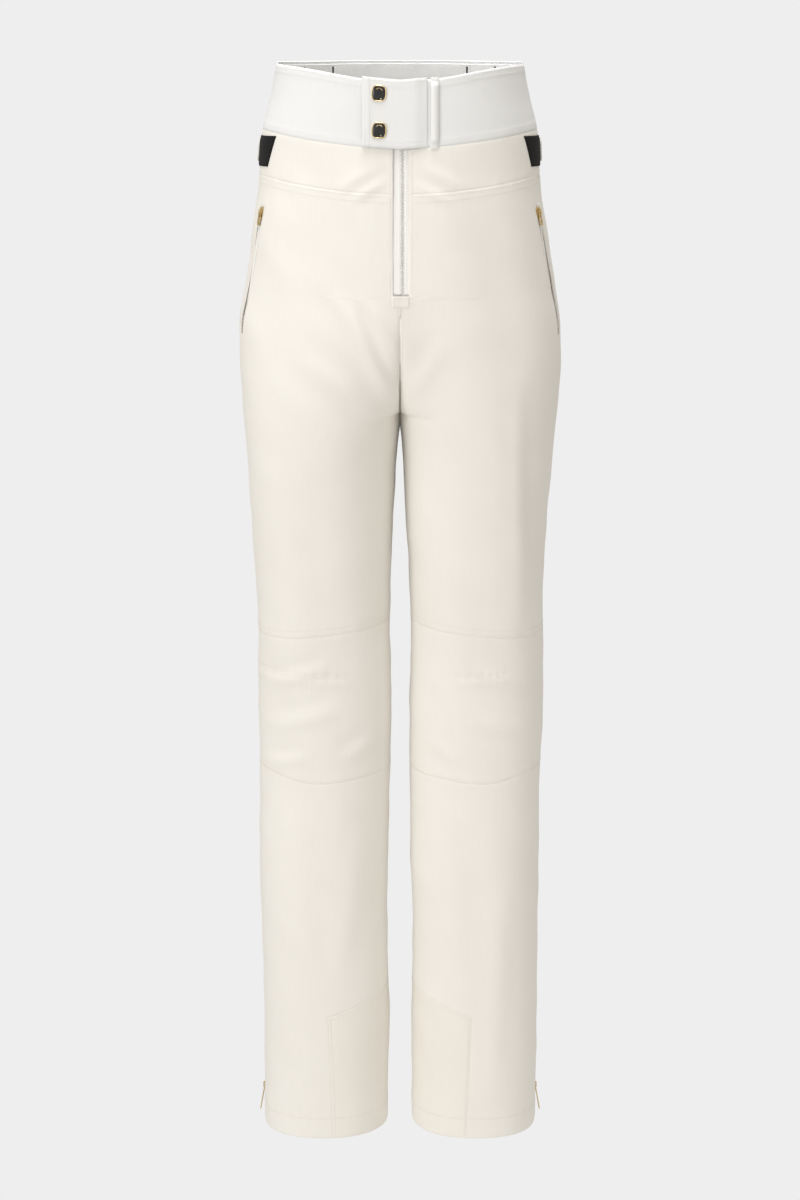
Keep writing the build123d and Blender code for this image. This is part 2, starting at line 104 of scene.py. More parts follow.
def ease(value: Array, low: float, high: float) -> Array:
    """A smooth step from 0 at low to 1 at high."""
    t = np.clip((value - low) / (high - low), 0, 1)
    return t * t * (3 - 2 * t)


def unit(vectors: Array) -> Array:
    """Vectors scaled to length 1 along their last axis."""
    return vectors / np.maximum(np.linalg.norm(vectors, axis=-1, keepdims=True), 1e-9)


def spaced(length: float, step: float, fine_start: bool, fine_end: bool) -> Array:
    """Places from 0 to 1 along a length, closer together near an end that is sewn.

    The spacing near a fine end grows by a fixed ratio from a third of a millimetre up to the plain step.

    Args:
        length: The real length, in millimetres.
        step: The plain spacing, in millimetres.
        fine_start: Whether the start is sewn.
        fine_end: Whether the end is sewn.

    Returns:
        Rising places from 0 to 1.
    """
    fine = np.cumsum(np.array([0.4, 0.5, 0.6, 0.7, 0.8, 0.9, 1.0, 1.1, 1.2, 1.3]))
    fine = fine * min(1.0, 0.42 * length / fine[-1])
    start = np.concatenate(([0.0], fine)) if fine_start else np.array([0.0])
    end = length - (np.concatenate(([0.0], fine)) if fine_end else np.array([0.0]))
    count = max(2, int(round((end[-1] - start[-1]) / step)) + 1)
    middle = np.linspace(start[-1], end[-1], count)
    return np.concatenate((start[:-1], middle, end[::-1][1:])) / length


def ripples(x: Array, z: Array, seed: int, count: int, longest: float, shortest: float) -> Array:
    """Soft irregular waves: a sum of sines with random directions, lengths and phases, about 1 high.

    Args:
        x: Places across.
        z: Heights.
        seed: Seed of the random waves.
        count: How many waves are summed.
        longest: Longest wave.
        shortest: Shortest wave.

    Returns:
        The height at each place.
    """
    rng = np.random.default_rng(seed)
    total = np.zeros(np.broadcast(x, z).shape)
    for _ in range(count):
        wave = rng.uniform(shortest, longest)
        turn = rng.uniform(0, math.pi)
        phase = rng.uniform(0, 2 * math.pi)
        total += np.sin(2 * math.pi * (x * math.cos(turn) + z * math.sin(turn)) / wave + phase)
    return total / math.sqrt(count)


# ---------------------------------------------------------------- the body that the cloth follows
@dataclass(frozen=True)
class Body:
    """The garment's outer surface: sections of the trunk that part into two thighs.

    Each row is height, half width at the side seam, front depth, back depth and inseam distance.
    """

    rows: tuple = (
        (-1060, 145.8, 66.0, 71, 13.0),
        (-916, 145.9, 67.0, 73, 12.8),
        (-837, 146.9, 67.5, 74, 12.4),
        (-737, 146.9, 68.0, 76, 12.0),
        (-638, 148.0, 69.0, 77, 11.0),
        (-573, 147.9, 70.5, 79, 10.4),
        (-477, 148.3, 79.0, 87, 8.8),
        (-414, 151.2, 85.5, 94, 7.8),
        (-351, 155.1, 94.0, 104, 5.2),
        (-320, 156.8, 98.0, 110, 3.6),
        (-276, 159.0, 104.0, 116, 0),
        (-230, 161.4, 108.0, 122, 0),
        (-192, 162.2, 109.5, 124, 0),
        (-150, 157.6, 108.0, 122, 0),
        (-110, 151.8, 105.2, 118, 0),
        (-50, 141.6, 101.0, 110, 0),
        (0, 138.0, 97.5, 104, 0),
        (40, 128.5, 94.7, 96, 0),
        (80, 121.0, 91.9, 89, 0),
    )
    waist_power: float = 2.3
    inner_power: float = 2.2
    outer_power: float = 2.4
    leg_x: float = 79.5
    crotch_z: float = -276.0
    fold_top_z: float = -150.0
    fold_tail: float = 64.0
    fold_wide: float = 46.0

    def row(self, z: Array) -> list[Array]:
        """Half width, front depth, back depth and inseam distance at each height.

        Args:
            z: Heights.

        Returns:
            The four measures, each with one value per height.
        """
        table = np.array(self.rows, float)
        values = [smooth_lookup(z, table[:, 0], table[:, k]) for k in range(1, 5)]
        values[3] = np.where(z > self.crotch_z, 0, values[3])
        return values

    def share(self, z: Array, x: Array) -> Array:
        """0 where the section is one trunk and 1 where it is two thighs.

        At the centre it follows a quarter circle down to the crotch; outwards it turns into a long soft step.

        Args:
            z: Heights.
            x: Distances from the centre line.

        Returns:
            The share at each place.
        """
        t = np.clip((self.fold_top_z - z) / (self.fold_top_z - self.crotch_z), 0, 1)
        near = 1 - np.sqrt(1 - t * t)
        far = ease(-z, -self.fold_top_z, -self.crotch_z + self.fold_tail)
        return near + (far - near) * ease(x, 0, self.fold_wide)

    def section(self, s: Array, z: Array, depth: Array | float = 0.0) -> tuple[Array, Array]:
        """A point of the left half: s runs 0 at the inner front, 0.5 at the side, 1 at the inner back.

        The distance forward blends a superellipse for the trunk with a superellipse for the leg.

        Args:
            s: Places round the section, 0 at the inner front and 1 at the inner back.
            z: Heights.
            depth: How far inside the outer surface.

        Returns:
            Distance from the centre line, and place from front to back.
        """
        half, front, back, gap = self.row(z)
        reach = np.where(s <= 0.5, depth - front, back - depth)
        outer = half - depth
        edge = np.where(z > self.crotch_z, 0, gap + depth)
        x = edge + (outer - edge) * (1 - np.cos(2 * math.pi * s)) / 2
        share = self.share(z, x)
        trunk = np.maximum(0, 1 - np.abs(x / outer) ** self.waist_power) ** (1 / self.waist_power)
        width = np.where(x < self.leg_x, self.leg_x - edge, outer - self.leg_x)
        off = np.abs((x - self.leg_x) / width)
        power = np.where(x < self.leg_x, self.inner_power, self.outer_power)
        thigh = np.maximum(0, 1 - off**power) ** (1 / power)
        return x, reach * ((1 - share) * trunk + share * thigh)

    def s_at_x(self, x: Array | float, z: Array, back: bool = False) -> Array:
        """The section parameter where the half's surface is x from the centre line, front or back.

        Args:
            x: Distance from the centre line.
            z: Heights.
            back: Whether it lies on the back.

        Returns:
            The section place at each height.
        """
        half, _, _, gap = self.row(z)
        edge = np.where(z > self.crotch_z, 0, gap)
        s = np.arccos(np.clip(1 - 2 * (x - edge) / (half - edge), -1, 1)) / (2 * math.pi)
        return 1 - s if back else s

    def s_at_y(self, off: Array | float, z: Array, back: bool = False) -> Array:
        """The section parameter at a distance in front of or behind the side seam, found by halving.

        Args:
            off: Distance from the side seam.
            z: Heights.
            back: Whether it lies on the back.

        Returns:
            The section place at each height.
        """
        z = np.asarray(z, float)
        low, high = np.full(z.shape, 0.3), np.full(z.shape, 0.5)
        for _ in range(22):
            middle = (low + high) / 2
            s = 1 - middle if back else middle
            beyond = np.abs(self.section(s, z)[1]) > off
            low, high = np.where(beyond, middle, low), np.where(beyond, high, middle)
        return 1 - high if back else high

    def point(self, s: Array, z: Array) -> Array:
        """Points of the left half's surface."""
        x, y = self.section(s, z)
        return np.stack((x, y, z + 0 * x), axis=-1)

    def normal(self, s: Array, z: Array) -> Array:
        """Outward unit normals, from the cross product of small steps along s and z.

        Args:
            s: Places round the section, 0 at the inner front and 1 at the inner back.
            z: Heights.

        Returns:
            The normals, one row per place.
        """
        step = 1e-3
        first = np.where(s < 0.5, np.clip(s - step, 0, 0.5 - 2 * step), np.clip(s - step, 0.5, 1 - 2 * step))
        along = self.point(first + 2 * step - 1e-6, z) - self.point(first + 1e-6, z)
        up = self.point(s, z + 1.0) - self.point(s, z - 1.0)
        return unit(np.cross(along, up))


BODY = Body()


@dataclass(frozen=True)
class Fold:
    """One drag line of the cloth: a ridge with a hollow beside it, straight as seen from the front."""

    start: tuple[float, float]
    end: tuple[float, float]
    width: float
    height: float
    back: bool = False

    def rise(self, x: Array, z: Array) -> Array:
        """Height over the surface: a bell across the line, faded towards both ends.

        Args:
            x: Signed distances from the centre line.
            z: Heights.

        Returns:
            The height at each place.
        """
        dx, dz = self.end[0] - self.start[0], self.end[1] - self.start[1]
        length = math.hypot(dx, dz)
        t = ((x - self.start[0]) * dx + (z - self.start[1]) * dz) / length**2
        off = ((z - self.start[1]) * dx - (x - self.start[0]) * dz) / length
        fade = np.sin(math.pi * np.clip(t, 0, 1)) ** 0.8
        bell = np.exp(-((off / self.width) ** 2))
        hollow = np.exp(-(((off - 1.7 * self.width) / (1.1 * self.width)) ** 2))
        return self.height * fade * (bell - 0.55 * hollow)


@dataclass(frozen=True)
class Drape:
    """All the soft shape of the cloth over the body: drag lines, creases and slow waves."""

    folds: tuple[Fold, ...] = (
        # drag lines from the crotch up and out over the wearer's right thigh
        Fold((-4, -262), (-62, -150), 8, 2.6),
        Fold((-6, -240), (-44, -158), 6, -2.0),
        Fold((-8, -285), (-92, -215), 11, 2.4),
        Fold((-3, -205), (-30, -160), 5, 1.6),
        Fold((6, -262), (48, -196), 9, 1.2),
        # short lines under the tab, both sides of the fly
        Fold((-10, -20), (-62, -52), 6, 1.3),
        Fold((-10, -40), (-48, -62), 5, 1.0),
        Fold((12, -22), (60, -50), 6, 1.3),
        Fold((12, -44), (50, -66), 5, 0.9),
        # across the knees
        Fold((-140, -556), (-70, -530), 7, 1.7),
        Fold((-138, -600), (-60, -578), 9, 1.8),
        Fold((-60, -634), (-24, -610), 8, 1.4),
        Fold((-142, -640), (-92, -628), 7, 1.5),
        Fold((140, -560), (78, -536), 7, 1.6),
        Fold((136, -606), (70, -586), 9, 1.7),
        Fold((66, -636), (26, -612), 8, 1.2),
        # long soft lines on the lower legs
        Fold((-40, -700), (-66, -880), 12, 1.2),
        Fold((-112, -690), (-96, -860), 12, 1.0),
        Fold((48, -690), (60, -860), 12, 1.0),
        Fold((104, -760), (98, -1010), 12, 1.6),
        Fold((117, -230), (121, -500), 9, 1.9),
        # the seat and the backs of the knees
        Fold((10, -262), (88, -214), 10, 2.4, back=True),
        Fold((-10, -262), (-88, -214), 10, 2.4, back=True),
        Fold((14, -292), (110, -268), 10, 1.8, back=True),
        Fold((-14, -292), (-110, -268), 10, 1.8, back=True),
        Fold((24, -560), (136, -548), 8, 2.2, back=True),
        Fold((-24, -560), (-136, -548), 8, 2.2, back=True),
        Fold((30, -600), (140, -594), 8, 2.4, back=True),
        Fold((-30, -600), (-140, -594), 8, 2.4, back=True),
        Fold((60, -700), (84, -900), 14, 1.6, back=True),
        Fold((-60, -700), (-84, -900), 14, 1.6, back=True),
    )
    wave: float = 0.5
    slow: float = 1.1

    def rise(self, s: Array, x: Array, z: Array) -> Array:
        """How far the cloth lies over the body, in millimetres, at signed x and z, front or back by s.

        The waistband and the hems are held, so the drape fades to nothing near them.

        Args:
            s: Places round the section, 0 at the inner front and 1 at the inner back.
            x: Signed distances from the centre line.
            z: Heights.

        Returns:
            The height at each place.
        """
        on_front = (1 - ease(s, 0.44, 0.56)) * ease(s, -0.1, 0.0)
        total = np.zeros(np.broadcast(x, z).shape)
        for fold in self.folds:
            total += fold.rise(x, z) * ((1 - on_front) if fold.back else on_front)
        total += self.wave * ripples(x * 1.5, z, 3, 9, 95, 34) * (0.55 + 0.45 * (1 - on_front))
        total += self.slow * ripples(x * 2.2, z, 11, 5, 330, 150)
        held = ease(-z, 2, 60) * (0.35 + 0.65 * ease(z, -1046, -985))
        return total * held


DRAPE = Drape()


def turn(tau: Array, leg: bool) -> tuple[Array, Array]:
    """Section parameter and side sign for a place that may run past the centre line or the inseam.

    Args:
        tau: Place round the section; past 0 or 1 it runs on to the other half, or round the same leg.
        leg: Whether the piece goes round a leg.

    Returns:
        The parameter from 0 to 1, and -1 where the place is on the other half.
    """
    tau = np.asarray(tau, float)
    if leg:
        return np.where(tau > 1, tau - 1, np.where(tau < 0, tau + 1, tau)), np.ones_like(tau)
    over = (tau > 1) | (tau < 0)
    return np.where(tau > 1, 2 - tau, np.abs(tau)), np.where(over, -1.0, 1.0)


def cloth_point(
    tau: Array, z: Array, side: Side, out: Array | float = 0.0, leg: bool = False
) -> tuple[Array, Array]:
    """Points and normals of the draped cloth, at a distance outside its surface.

    Args:
        tau: Place round the section, as turn() reads it.
        z: Height.
        side: The half that tau counts on.
        out: Distance out from the cloth.
        leg: Whether the piece goes round a leg.

    Returns:
        The points and the outward unit normals.
    """
    s, over = turn(tau, leg)
    sign = over * side.value
    point, normal = BODY.point(s, z), BODY.normal(s, z)
    joined = ease(point[..., 0], 0, 5) if not leg else 1.0
    level = np.where(z > BODY.crotch_z, joined, 1.0)
    normal = unit(np.stack((normal[..., 0] * level, normal[..., 1], normal[..., 2]), axis=-1))
    rise = DRAPE.rise(s, point[..., 0] * sign, z) + out
    point = point + normal * rise[..., None]
    flip = np.stack((sign, np.ones_like(sign), np.ones_like(sign)), axis=-1)
    return point * flip, normal * flip


# ---------------------------------------------------------------- mesh making
def make_object(name: str, verts: Array, faces: Array, uv: Array | None = None) -> bpy.types.Object:
    """Makes a smooth-shaded mesh object at the origin from points in millimetres.

    Args:
        name: The piece's name.
        verts: Points, n by 3, in millimetres.
        faces: Vertex numbers of each face.
        uv: One pair per vertex, in metres along the cloth.

    Returns:
        The linked object.
    """
    mesh = bpy.data.meshes.new(name)
    mesh.from_pydata((np.asarray(verts, float) * MM).tolist(), [], np.asarray(faces).tolist())
    if uv is not None:
        layer = mesh.uv_layers.new(name="cloth")
        loops = np.empty(len(mesh.loops), dtype=np.int32)
        mesh.loops.foreach_get("vertex_index", loops)
        layer.data.foreach_set("uv", np.asarray(uv, float)[loops].ravel())
    mesh.polygons.foreach_set("use_smooth", np.ones(len(mesh.polygons), dtype=bool))
    mesh.update()
    obj = bpy.data.objects.new(name, mesh)
    bpy.context.collection.objects.link(obj)
    return obj


def grid_faces(columns: int, rows: int, flip: bool = False) -> Array:
    """Quads between neighbouring points of a grid.

    Args:
        columns: The grid's points in its first direction.
        rows: Its points in the second direction.
        flip: Whether the faces are turned over.

    Returns:
        The point numbers of each quad.
    """
    i, j = np.meshgrid(np.arange(columns - 1), np.arange(rows - 1), indexing="ij")
    quads = np.stack((i * rows + j, (i + 1) * rows + j, (i + 1) * rows + j + 1, i * rows + j + 1), -1)
    quads = quads.reshape(-1, 4)
    return quads[:, ::-1] if flip else quads


def grid_normals(points: Array, flip: bool) -> Array:
    """Unit normals of a grid of points, from the cross product of its two directions."""
    normal = unit(np.cross(np.gradient(points, axis=0), np.gradient(points, axis=1)))
    return -normal if flip else normal


def run_lengths(points: Array, axis: int) -> Array:
    """Distance along a grid's lines from their first point.

    Args:
        points: A grid of points, or one line of them.
        axis: The direction that the lines run in.

    Returns:
        The distance at each point.
    """
    steps = np.linalg.norm(np.diff(points, axis=axis), axis=-1)
    zero = np.zeros_like(np.take(steps, [0], axis=axis))
    return np.cumsum(np.concatenate((zero, steps), axis=axis), axis=axis)


def drop_unused(verts: Array, faces: Array, uv: Array) -> tuple[Array, Array, Array]:
    """Leaves out the points that no face uses.

    Args:
        verts: The points.
        faces: The point numbers of each face.
        uv: Values that belong to each point.

    Returns:
        The points, faces and values that are left.
    """
    used = np.unique(faces)
    new_number = np.zeros(len(verts), dtype=int)
    new_number[used] = np.arange(len(used))
    return verts[used], new_number[faces], uv[used]


def edge_points(faces: Array) -> Array:
    """Numbers of the points on the open edges of a mesh of quads: those on an edge that one face has.

    Args:
        faces: The point numbers of each quad.

    Returns:
        The numbers, in rising order.
    """
    edges = np.sort(np.concatenate([faces[:, [k, (k + 1) % 4]] for k in range(4)]), axis=1)
    pairs, counts = np.unique(edges, axis=0, return_counts=True)
    return np.unique(pairs[counts == 1])


def distance_to(points: Array, targets: Array, chunk: int = 1500) -> Array:
    """Distance from each point to the nearest target, worked out a few rows at a time.

    Args:
        points: The points to measure from.
        targets: The points to measure to.
        chunk: How many rows are worked out at a time.

    Returns:
        One distance for each point.
    """
    found = np.empty(len(points))
    squares = (targets**2).sum(axis=1)
    for first in range(0, len(points), chunk):
        part = points[first : first + chunk]
        gaps = (part**2).sum(axis=1)[:, None] + squares - 2 * part @ targets.T
        found[first : first + chunk] = np.sqrt(np.maximum(gaps.min(axis=1), 0))
    return found


def thicken(obj: bpy.types.Object, wall: float, round_over: float = 0.0) -> None:
    """Gives a sheet its wall, inwards, and may round its edges.

    Args:
        obj: The sheet.
        wall: Its thickness.
        round_over: Width of its edges' rounding, or 0 for none.
    """
    solid = obj.modifiers.new("wall", "SOLIDIFY")
    solid.thickness = wall * MM
    solid.offset = -1
    if round_over:
        bevel = obj.modifiers.new("soft_edge", "BEVEL")
        bevel.width = round_over * MM
        bevel.segments = 2
        bevel.limit_method = "ANGLE"
        bevel.angle_limit = math.radians(50)


@dataclass(frozen=True)
class Sewing:
    """The relief of a sewn edge: a rolled seam with a turned allowance beside it."""

    roll: float = 0.3
    roll_width: float = 1.1
    allowance: float = 0.05
    allowance_width: float = 7.0
    pucker: float = 0.14

    def relief(self, off: Array, points: Array) -> Array:
        """Height over the cloth: a dip at the edge, a low step beside it and a slight pucker along it.

        Args:
            off: Distance of each point from the nearest open edge.
            points: The points.

        Returns:
            The height at each point.
        """
        dip = -self.roll * np.exp(-((off / self.roll_width) ** 2))
        raised = self.allowance * (1 - ease(off, self.allowance_width, self.allowance_width + 2.5))
        x, z = points[:, 0], points[:, 2]
        wrinkle = self.pucker * np.exp(-((off / 8.0) ** 2)) * ripples(x, z, 5, 5, 22, 9)
        return dip + raised + wrinkle


Rule = Callable[[Array], Array]


@dataclass
class Panel:
    """A cut panel of cloth on a grid of blocks between section lines and seam lines.

    Attributes:
        name: The piece's name.
        side: The half of the garment that the section lines count on.
        columns: Section lines, each from height, in order round the body.
        rows: Seam lines, each from distance to the centre line, from the lowest up.
        left_out: Blocks, column and row, that aren't part of the piece.
        leg: Whether the piece goes round a leg.
        step: Spacing of the grid.
        out: Distance outside the body's surface.
        wall: Thickness of the cloth.
        sewing: Relief of its edges.
        close: Heights between which the rows stand closer together, or None.
        extra: Further height over the surface, from section place, height and points.
    """

    name: str
    side: Side
    columns: tuple[Rule, ...]
    rows: tuple[Rule, ...]
    left_out: tuple[tuple[int, int], ...] = ()
    leg: bool = False
    step: float = 2.4
    out: float = 0.0
    wall: float = 1.2
    round_over: float = 0.0
    sewing: Sewing = Sewing()
    close: tuple[float, float] | None = None
    extra: Callable[[Array, Array, Array], Array] | None = None
    size: tuple[float, float, float] = (0.0, 0.0, 0.0)

    def places(self, count: int, length: Rule, sewn: bool = True) -> tuple[Array, Array]:
        """Places 0 to n through a run of n blocks, finer beside each line, and the lines' numbers.

        Args:
            count: The number of blocks.
            length: A block's length from its number.
            sewn: Whether the places stand closer at the lines.

        Returns:
            The places, and which of them lie on each line.
        """
        parts, marks = [np.array([0.0])], [0]
        for k in range(count):
            part = spaced(float(length(k)), self.step, sewn, sewn)
            parts.append(k + part[1:])
            marks.append(marks[-1] + len(part) - 1)
        return np.concatenate(parts), np.array(marks)

    def solve(self, U: Array, V: Array) -> tuple[Array, Array]:
        """Section place and height at grid places, by repeating the two sets of lines in turn.

        Args:
            U: Places through the columns.
            V: Places through the rows.

        Returns:
            The section places and the heights.
        """
        z = np.full(U.shape, float(self.rows[0](np.array(80.0)) + self.rows[-1](np.array(80.0))) / 2)
        for _ in range(7):
            tau = self.between(self.columns, U, z)
            x = BODY.section(turn(tau, self.leg)[0], z)[0]
            z = self.between(self.rows, V, x)
        return self.between(self.columns, U, z), z

    @staticmethod
    def between(lines: tuple[Rule, ...], place: Array, at: Array) -> Array:
        """A value a share of the way from one line to the next.

        Args:
            lines: The lines, in order.
            place: Place through the blocks between them.
            at: Where each line is read.

        Returns:
            The value at each place.
        """
        total = lines[0](at) + 0 * place
        for k in range(len(lines) - 1):
            total = total + (lines[k + 1](at) - lines[k](at)) * np.clip(place - k, 0, 1)
        return total

    def block_width(self, k: int) -> float:
        """The real width of a block column, half way up.

        Args:
            k: The column's number.

        Returns:
            The width in millimetres.
        """
        z = (self.rows[0](np.array(80.0)) + self.rows[-1](np.array(80.0))) / 2 + np.zeros(40)
        first, last = self.columns[k](z), self.columns[k + 1](z)
        tau = first + (last - first) * np.linspace(0, 1, 40)
        return float(run_lengths(cloth_point(tau, z, self.side, leg=self.leg)[0], 0)[-1])

    def block_height(self, k: int) -> float:
        """The real height of a block row, at the middle of a leg."""
        x = np.array(LEG_MIDDLE)
        return float(self.rows[k + 1](x) - self.rows[k](x))

    def build(self) -> bpy.types.Object:
        """Makes the panel: grid, drape, relief along its edges, openings and wall.

        Returns:
            The panel as an object, with its size kept in self.size.
        """
        u, u_marks = self.places(len(self.columns) - 1, self.block_width)
        v, v_marks = self.places(len(self.rows) - 1, self.block_height)
        if self.close is not None:
            x = np.array(LEG_MIDDLE)
            span = np.array([float(line(x)) for line in self.rows])
            low, high = (np.interp(z, span, np.arange(len(span))) for z in self.close)
            v = np.unique(np.concatenate((v, low + (high - low) * np.linspace(0, 1, 16) ** 2)))
            v_marks = np.searchsorted(v, np.arange(len(self.rows)) - 1e-9)
        U, V = np.meshgrid(u, v, indexing="ij")
        tau, z = self.solve(U, V)
        points, _ = cloth_point(tau, z, self.side, self.out, self.leg)
        flip = self.side is Side.RIGHT
        faces = grid_faces(len(u), len(v), flip)
        column, row = np.divmod(faces.min(axis=1), len(v))
        keep = np.ones(len(faces), dtype=bool)
        for a, b in self.left_out:
            inside = (column >= u_marks[a]) & (column < u_marks[a + 1])
            keep &= ~(inside & (row >= v_marks[b]) & (row < v_marks[b + 1]))
        across, up = run_lengths(points, 0), run_lengths(points, 1)
        normals = grid_normals(points, flip)
        flat, flat_normals = points.reshape(-1, 3), normals.reshape(-1, 3)
        uv = np.stack((across, up), -1).reshape(-1, 2) * MM
        packed = np.concatenate((uv, flat_normals, tau.reshape(-1, 1), z.reshape(-1, 1)), axis=1)
        verts, faces, packed = drop_unused(flat, faces[keep], packed)
        rise = self.sewing.relief(distance_to(verts, verts[edge_points(faces)]), verts)
        if self.extra is not None:
            rise = rise + self.extra(packed[:, 5], packed[:, 6], verts)
        verts = verts + packed[:, 2:5] * rise[:, None]
        obj = make_object(self.name, verts, faces, packed[:, :2])
        thicken(obj, self.wall, self.round_over)
        corner = verts[faces]
        area = np.linalg.norm(np.cross(corner[:, 2] - corner[:, 0], corner[:, 3] - corner[:, 1]), axis=1)
        self.size = (float(across.max()) * MM, float(up.max()) * MM, float(area.sum() / 2) * MM * MM)
        return obj

    def declare(self, rests_on: list[str]) -> None:
        """Rounds the flat cut's size and area; nothing is done with them.

        Args:
            rests_on: The nodes that it lies on; not used.
        """
        wide, tall, area = self.size
        wide, tall = round(max(wide, 0.01), 4), round(max(tall, 0.01), 4)


LEG_MIDDLE = 79.5
SEAM_X = (0.0, 36.0, 90.0, 138.0)


def seam(heights: tuple[float, ...], shift: float = 0.0) -> Rule:
    """A seam line: its height from the distance to the centre line, moved up by a shift."""
    places, values = np.array(SEAM_X), np.array(heights)
    return lambda x: smooth_lookup(np.abs(x), places, values) + shift


def level(z: float) -> Rule:
    """A level line."""
    return lambda x: z + 0 * np.asarray(x, float)


def at_s(s: float) -> Rule:
    """A section line that stays at one place round the body."""
    return lambda z: s + 0 * np.asarray(z, float)


def at_x(x: float, back: bool = False, past: bool = False) -> Rule:
    """The section line at a distance from the centre line.

    Args:
        x: The distance.
        back: Whether it lies on the back.
        past: Whether it lies past the inner edge, on the other half or round the same leg.

    Returns:
        The line.
    """

    def line(z: Array) -> Array:
        """Section place at each height."""
        s = BODY.s_at_x(x, z, back)
        return (2 - s if back else -s) if past else s

    return line


def at_y(off: float, back: bool = False) -> Rule:
    """The section line at a distance in front of or behind the side seam."""
    return lambda z: BODY.s_at_y(off, z, back)


def stepped(above: Rule, below: Rule, z_step: float, reach: float = 4.0) -> Rule:
    """A section line that changes from one to another at a height."""

    def line(z: Array) -> Array:
        """Section place at each height."""
        share = ease(z, z_step - reach, z_step)
        return below(z) + (above(z) - below(z)) * share

    return line


@dataclass(frozen=True)
class Seams:
    """The heights of the garment's seam lines, at four distances from the centre line."""

    rim_front: tuple = (51, 54.5, 64, 71)
    rim_back: tuple = (73, 73, 72, 71)
    waist_front: tuple = (-13.5, -10.5, -4, 5)
    waist_back: tuple = (0, 0, 2, 5)
    yoke_front: tuple = (-56, -54.5, -48.5, -39)
    yoke_back: tuple = (-62, -60, -50, -39)
    knee_top: tuple = (-493, -496, -501, -504)
    knee_bottom: tuple = (-650, -653, -657, -647)
    hem: float = -1046.0
    guard_corner: tuple = (75.5, -911.0)
    guard_hem_x: float = 70.5
    guard_inner: tuple = (14.0, -889.0)

    def guard_side(self, back: bool = False, past: bool = False) -> Rule:
        """The section line of an ankle guard's upright seam, which leans a little inwards to the hem."""

        def line(z: Array) -> Array:
            """Section place at each height."""
            share = np.clip((self.guard_corner[1] - z) / (self.guard_corner[1] - self.hem), 0, 1)
            x = self.guard_corner[0] + (self.guard_hem_x - self.guard_corner[0]) * share
            s = BODY.s_at_x(x, z, back)
            return s + 1 if past else s

        return line

    def guard_top(self) -> Rule:
        """The guard's slanted top seam, level again outside its corner."""
        slope = (self.guard_corner[1] - self.guard_inner[1]) / (self.guard_corner[0] - self.guard_inner[0])
        return lambda x: self.guard_inner[1] + slope * np.minimum(
            np.abs(x) - self.guard_inner[0], self.guard_corner[0] - self.guard_inner[0]
        )


SEAMS = Seams()


# ---------------------------------------------------------------- stitches
@dataclass(frozen=True)
class Thread:
    """A row of sewn stitches: their pitch, length and thickness."""

    pitch: float = 3.0
    length: float = 2.3
    thick: float = 0.38
    sink: float = 0.02

    def mesh(self, name: str, paths: list[tuple[Array, Array]]) -> bpy.types.Object:
        """Makes the stitches along paths as small spindles: two tips and two rings of five points each.

        Args:
            name: The piece's name.
            paths: Pairs of points along the cloth and its normals there.

        Returns:
            The object with every stitch.
        """
        middles, alongs, normals = [], [], []
        for points, normal in paths:
            run = run_lengths(points, 0)
            at = np.arange(self.pitch / 2, run[-1], self.pitch)
            ends = [np.stack([np.interp(at + d, run, points[:, k]) for k in range(3)], -1)
                    for d in (-0.3, 0.0, 0.3)]
            middles.append(ends[1])
            alongs.append(unit(ends[2] - ends[0]))
            normals.append(unit(np.stack([np.interp(at, run, normal[:, k]) for k in range(3)], -1)))
        middle, along, normal = (np.concatenate(part) for part in (middles, alongs, normals))
        across = unit(np.cross(along, normal))
        turn_angle = 2 * math.pi * np.arange(5) / 5
        ring = np.stack((np.cos(turn_angle), np.sin(turn_angle)), -1) * self.thick / 2
        half = self.length / 2
        local = np.concatenate((
            [[-half, 0, -self.thick / 2]],
            np.column_stack((np.full(5, -half * 0.45), ring)),
            np.column_stack((np.full(5, half * 0.45), ring)),
            [[half, 0, -self.thick / 2]],
        ))
        verts = (
            middle[:, None, :]
            + local[None, :, 0:1] * along[:, None, :]
            + local[None, :, 1:2] * across[:, None, :]
            + (local[None, :, 2:3] + self.thick / 4 - self.sink) * normal[:, None, :]
        )
        k = np.arange(5)
        n = (k + 1) % 5
        tips = np.concatenate((
            np.column_stack((np.zeros(5, int), 1 + n, 1 + k)),
            np.column_stack((np.full(5, 11), 6 + k, 6 + n)),
        ))
        quads = np.column_stack((1 + k, 1 + n, 6 + n, 6 + k))
        base = 12 * np.arange(len(middle))[:, None, None]
        faces = (tips[None] + base).reshape(-1, 3).tolist() + (quads[None] + base).reshape(-1, 4).tolist()
        mesh = bpy.data.meshes.new(name)
        mesh.from_pydata((verts.reshape(-1, 3) * MM).tolist(), [], faces)
        mesh.polygons.foreach_set("use_smooth", np.ones(len(mesh.polygons), dtype=bool))
        obj = bpy.data.objects.new(name, mesh)
        bpy.context.collection.objects.link(obj)
        return obj


def seam_run(
    side: Side, first: Rule, last: Rule, line: Rule, out: float = 0.2, leg: bool = False
) -> tuple[Array, Array]:
    """Points and normals along a seam line between two section lines.

    Args:
        side: The half of the garment.
        first: The section line that it starts on.
        last: The section line that it ends on.
        line: The seam line that it follows.
        out: Distance out from the cloth.
        leg: Whether the piece goes round a leg.

    Returns:
        The points and the outward normals.
    """
    share = np.linspace(0, 1, 160)
    z = line(np.full(160, LEG_MIDDLE))
    for _ in range(8):
        tau = first(z) + (last(z) - first(z)) * share
        z = line(BODY.section(turn(tau, leg)[0], z)[0])
    return cloth_point(tau, z, side, out, leg)


def upright_run(
    side: Side, line: Rule, low: float, high: float, out: float = 0.2, leg: bool = False
) -> tuple[Array, Array]:
    """Points and normals up a section line between two heights."""
    z = np.linspace(low, high, max(8, int((high - low) / 2)))
    return cloth_point(line(z), z, side, out, leg)


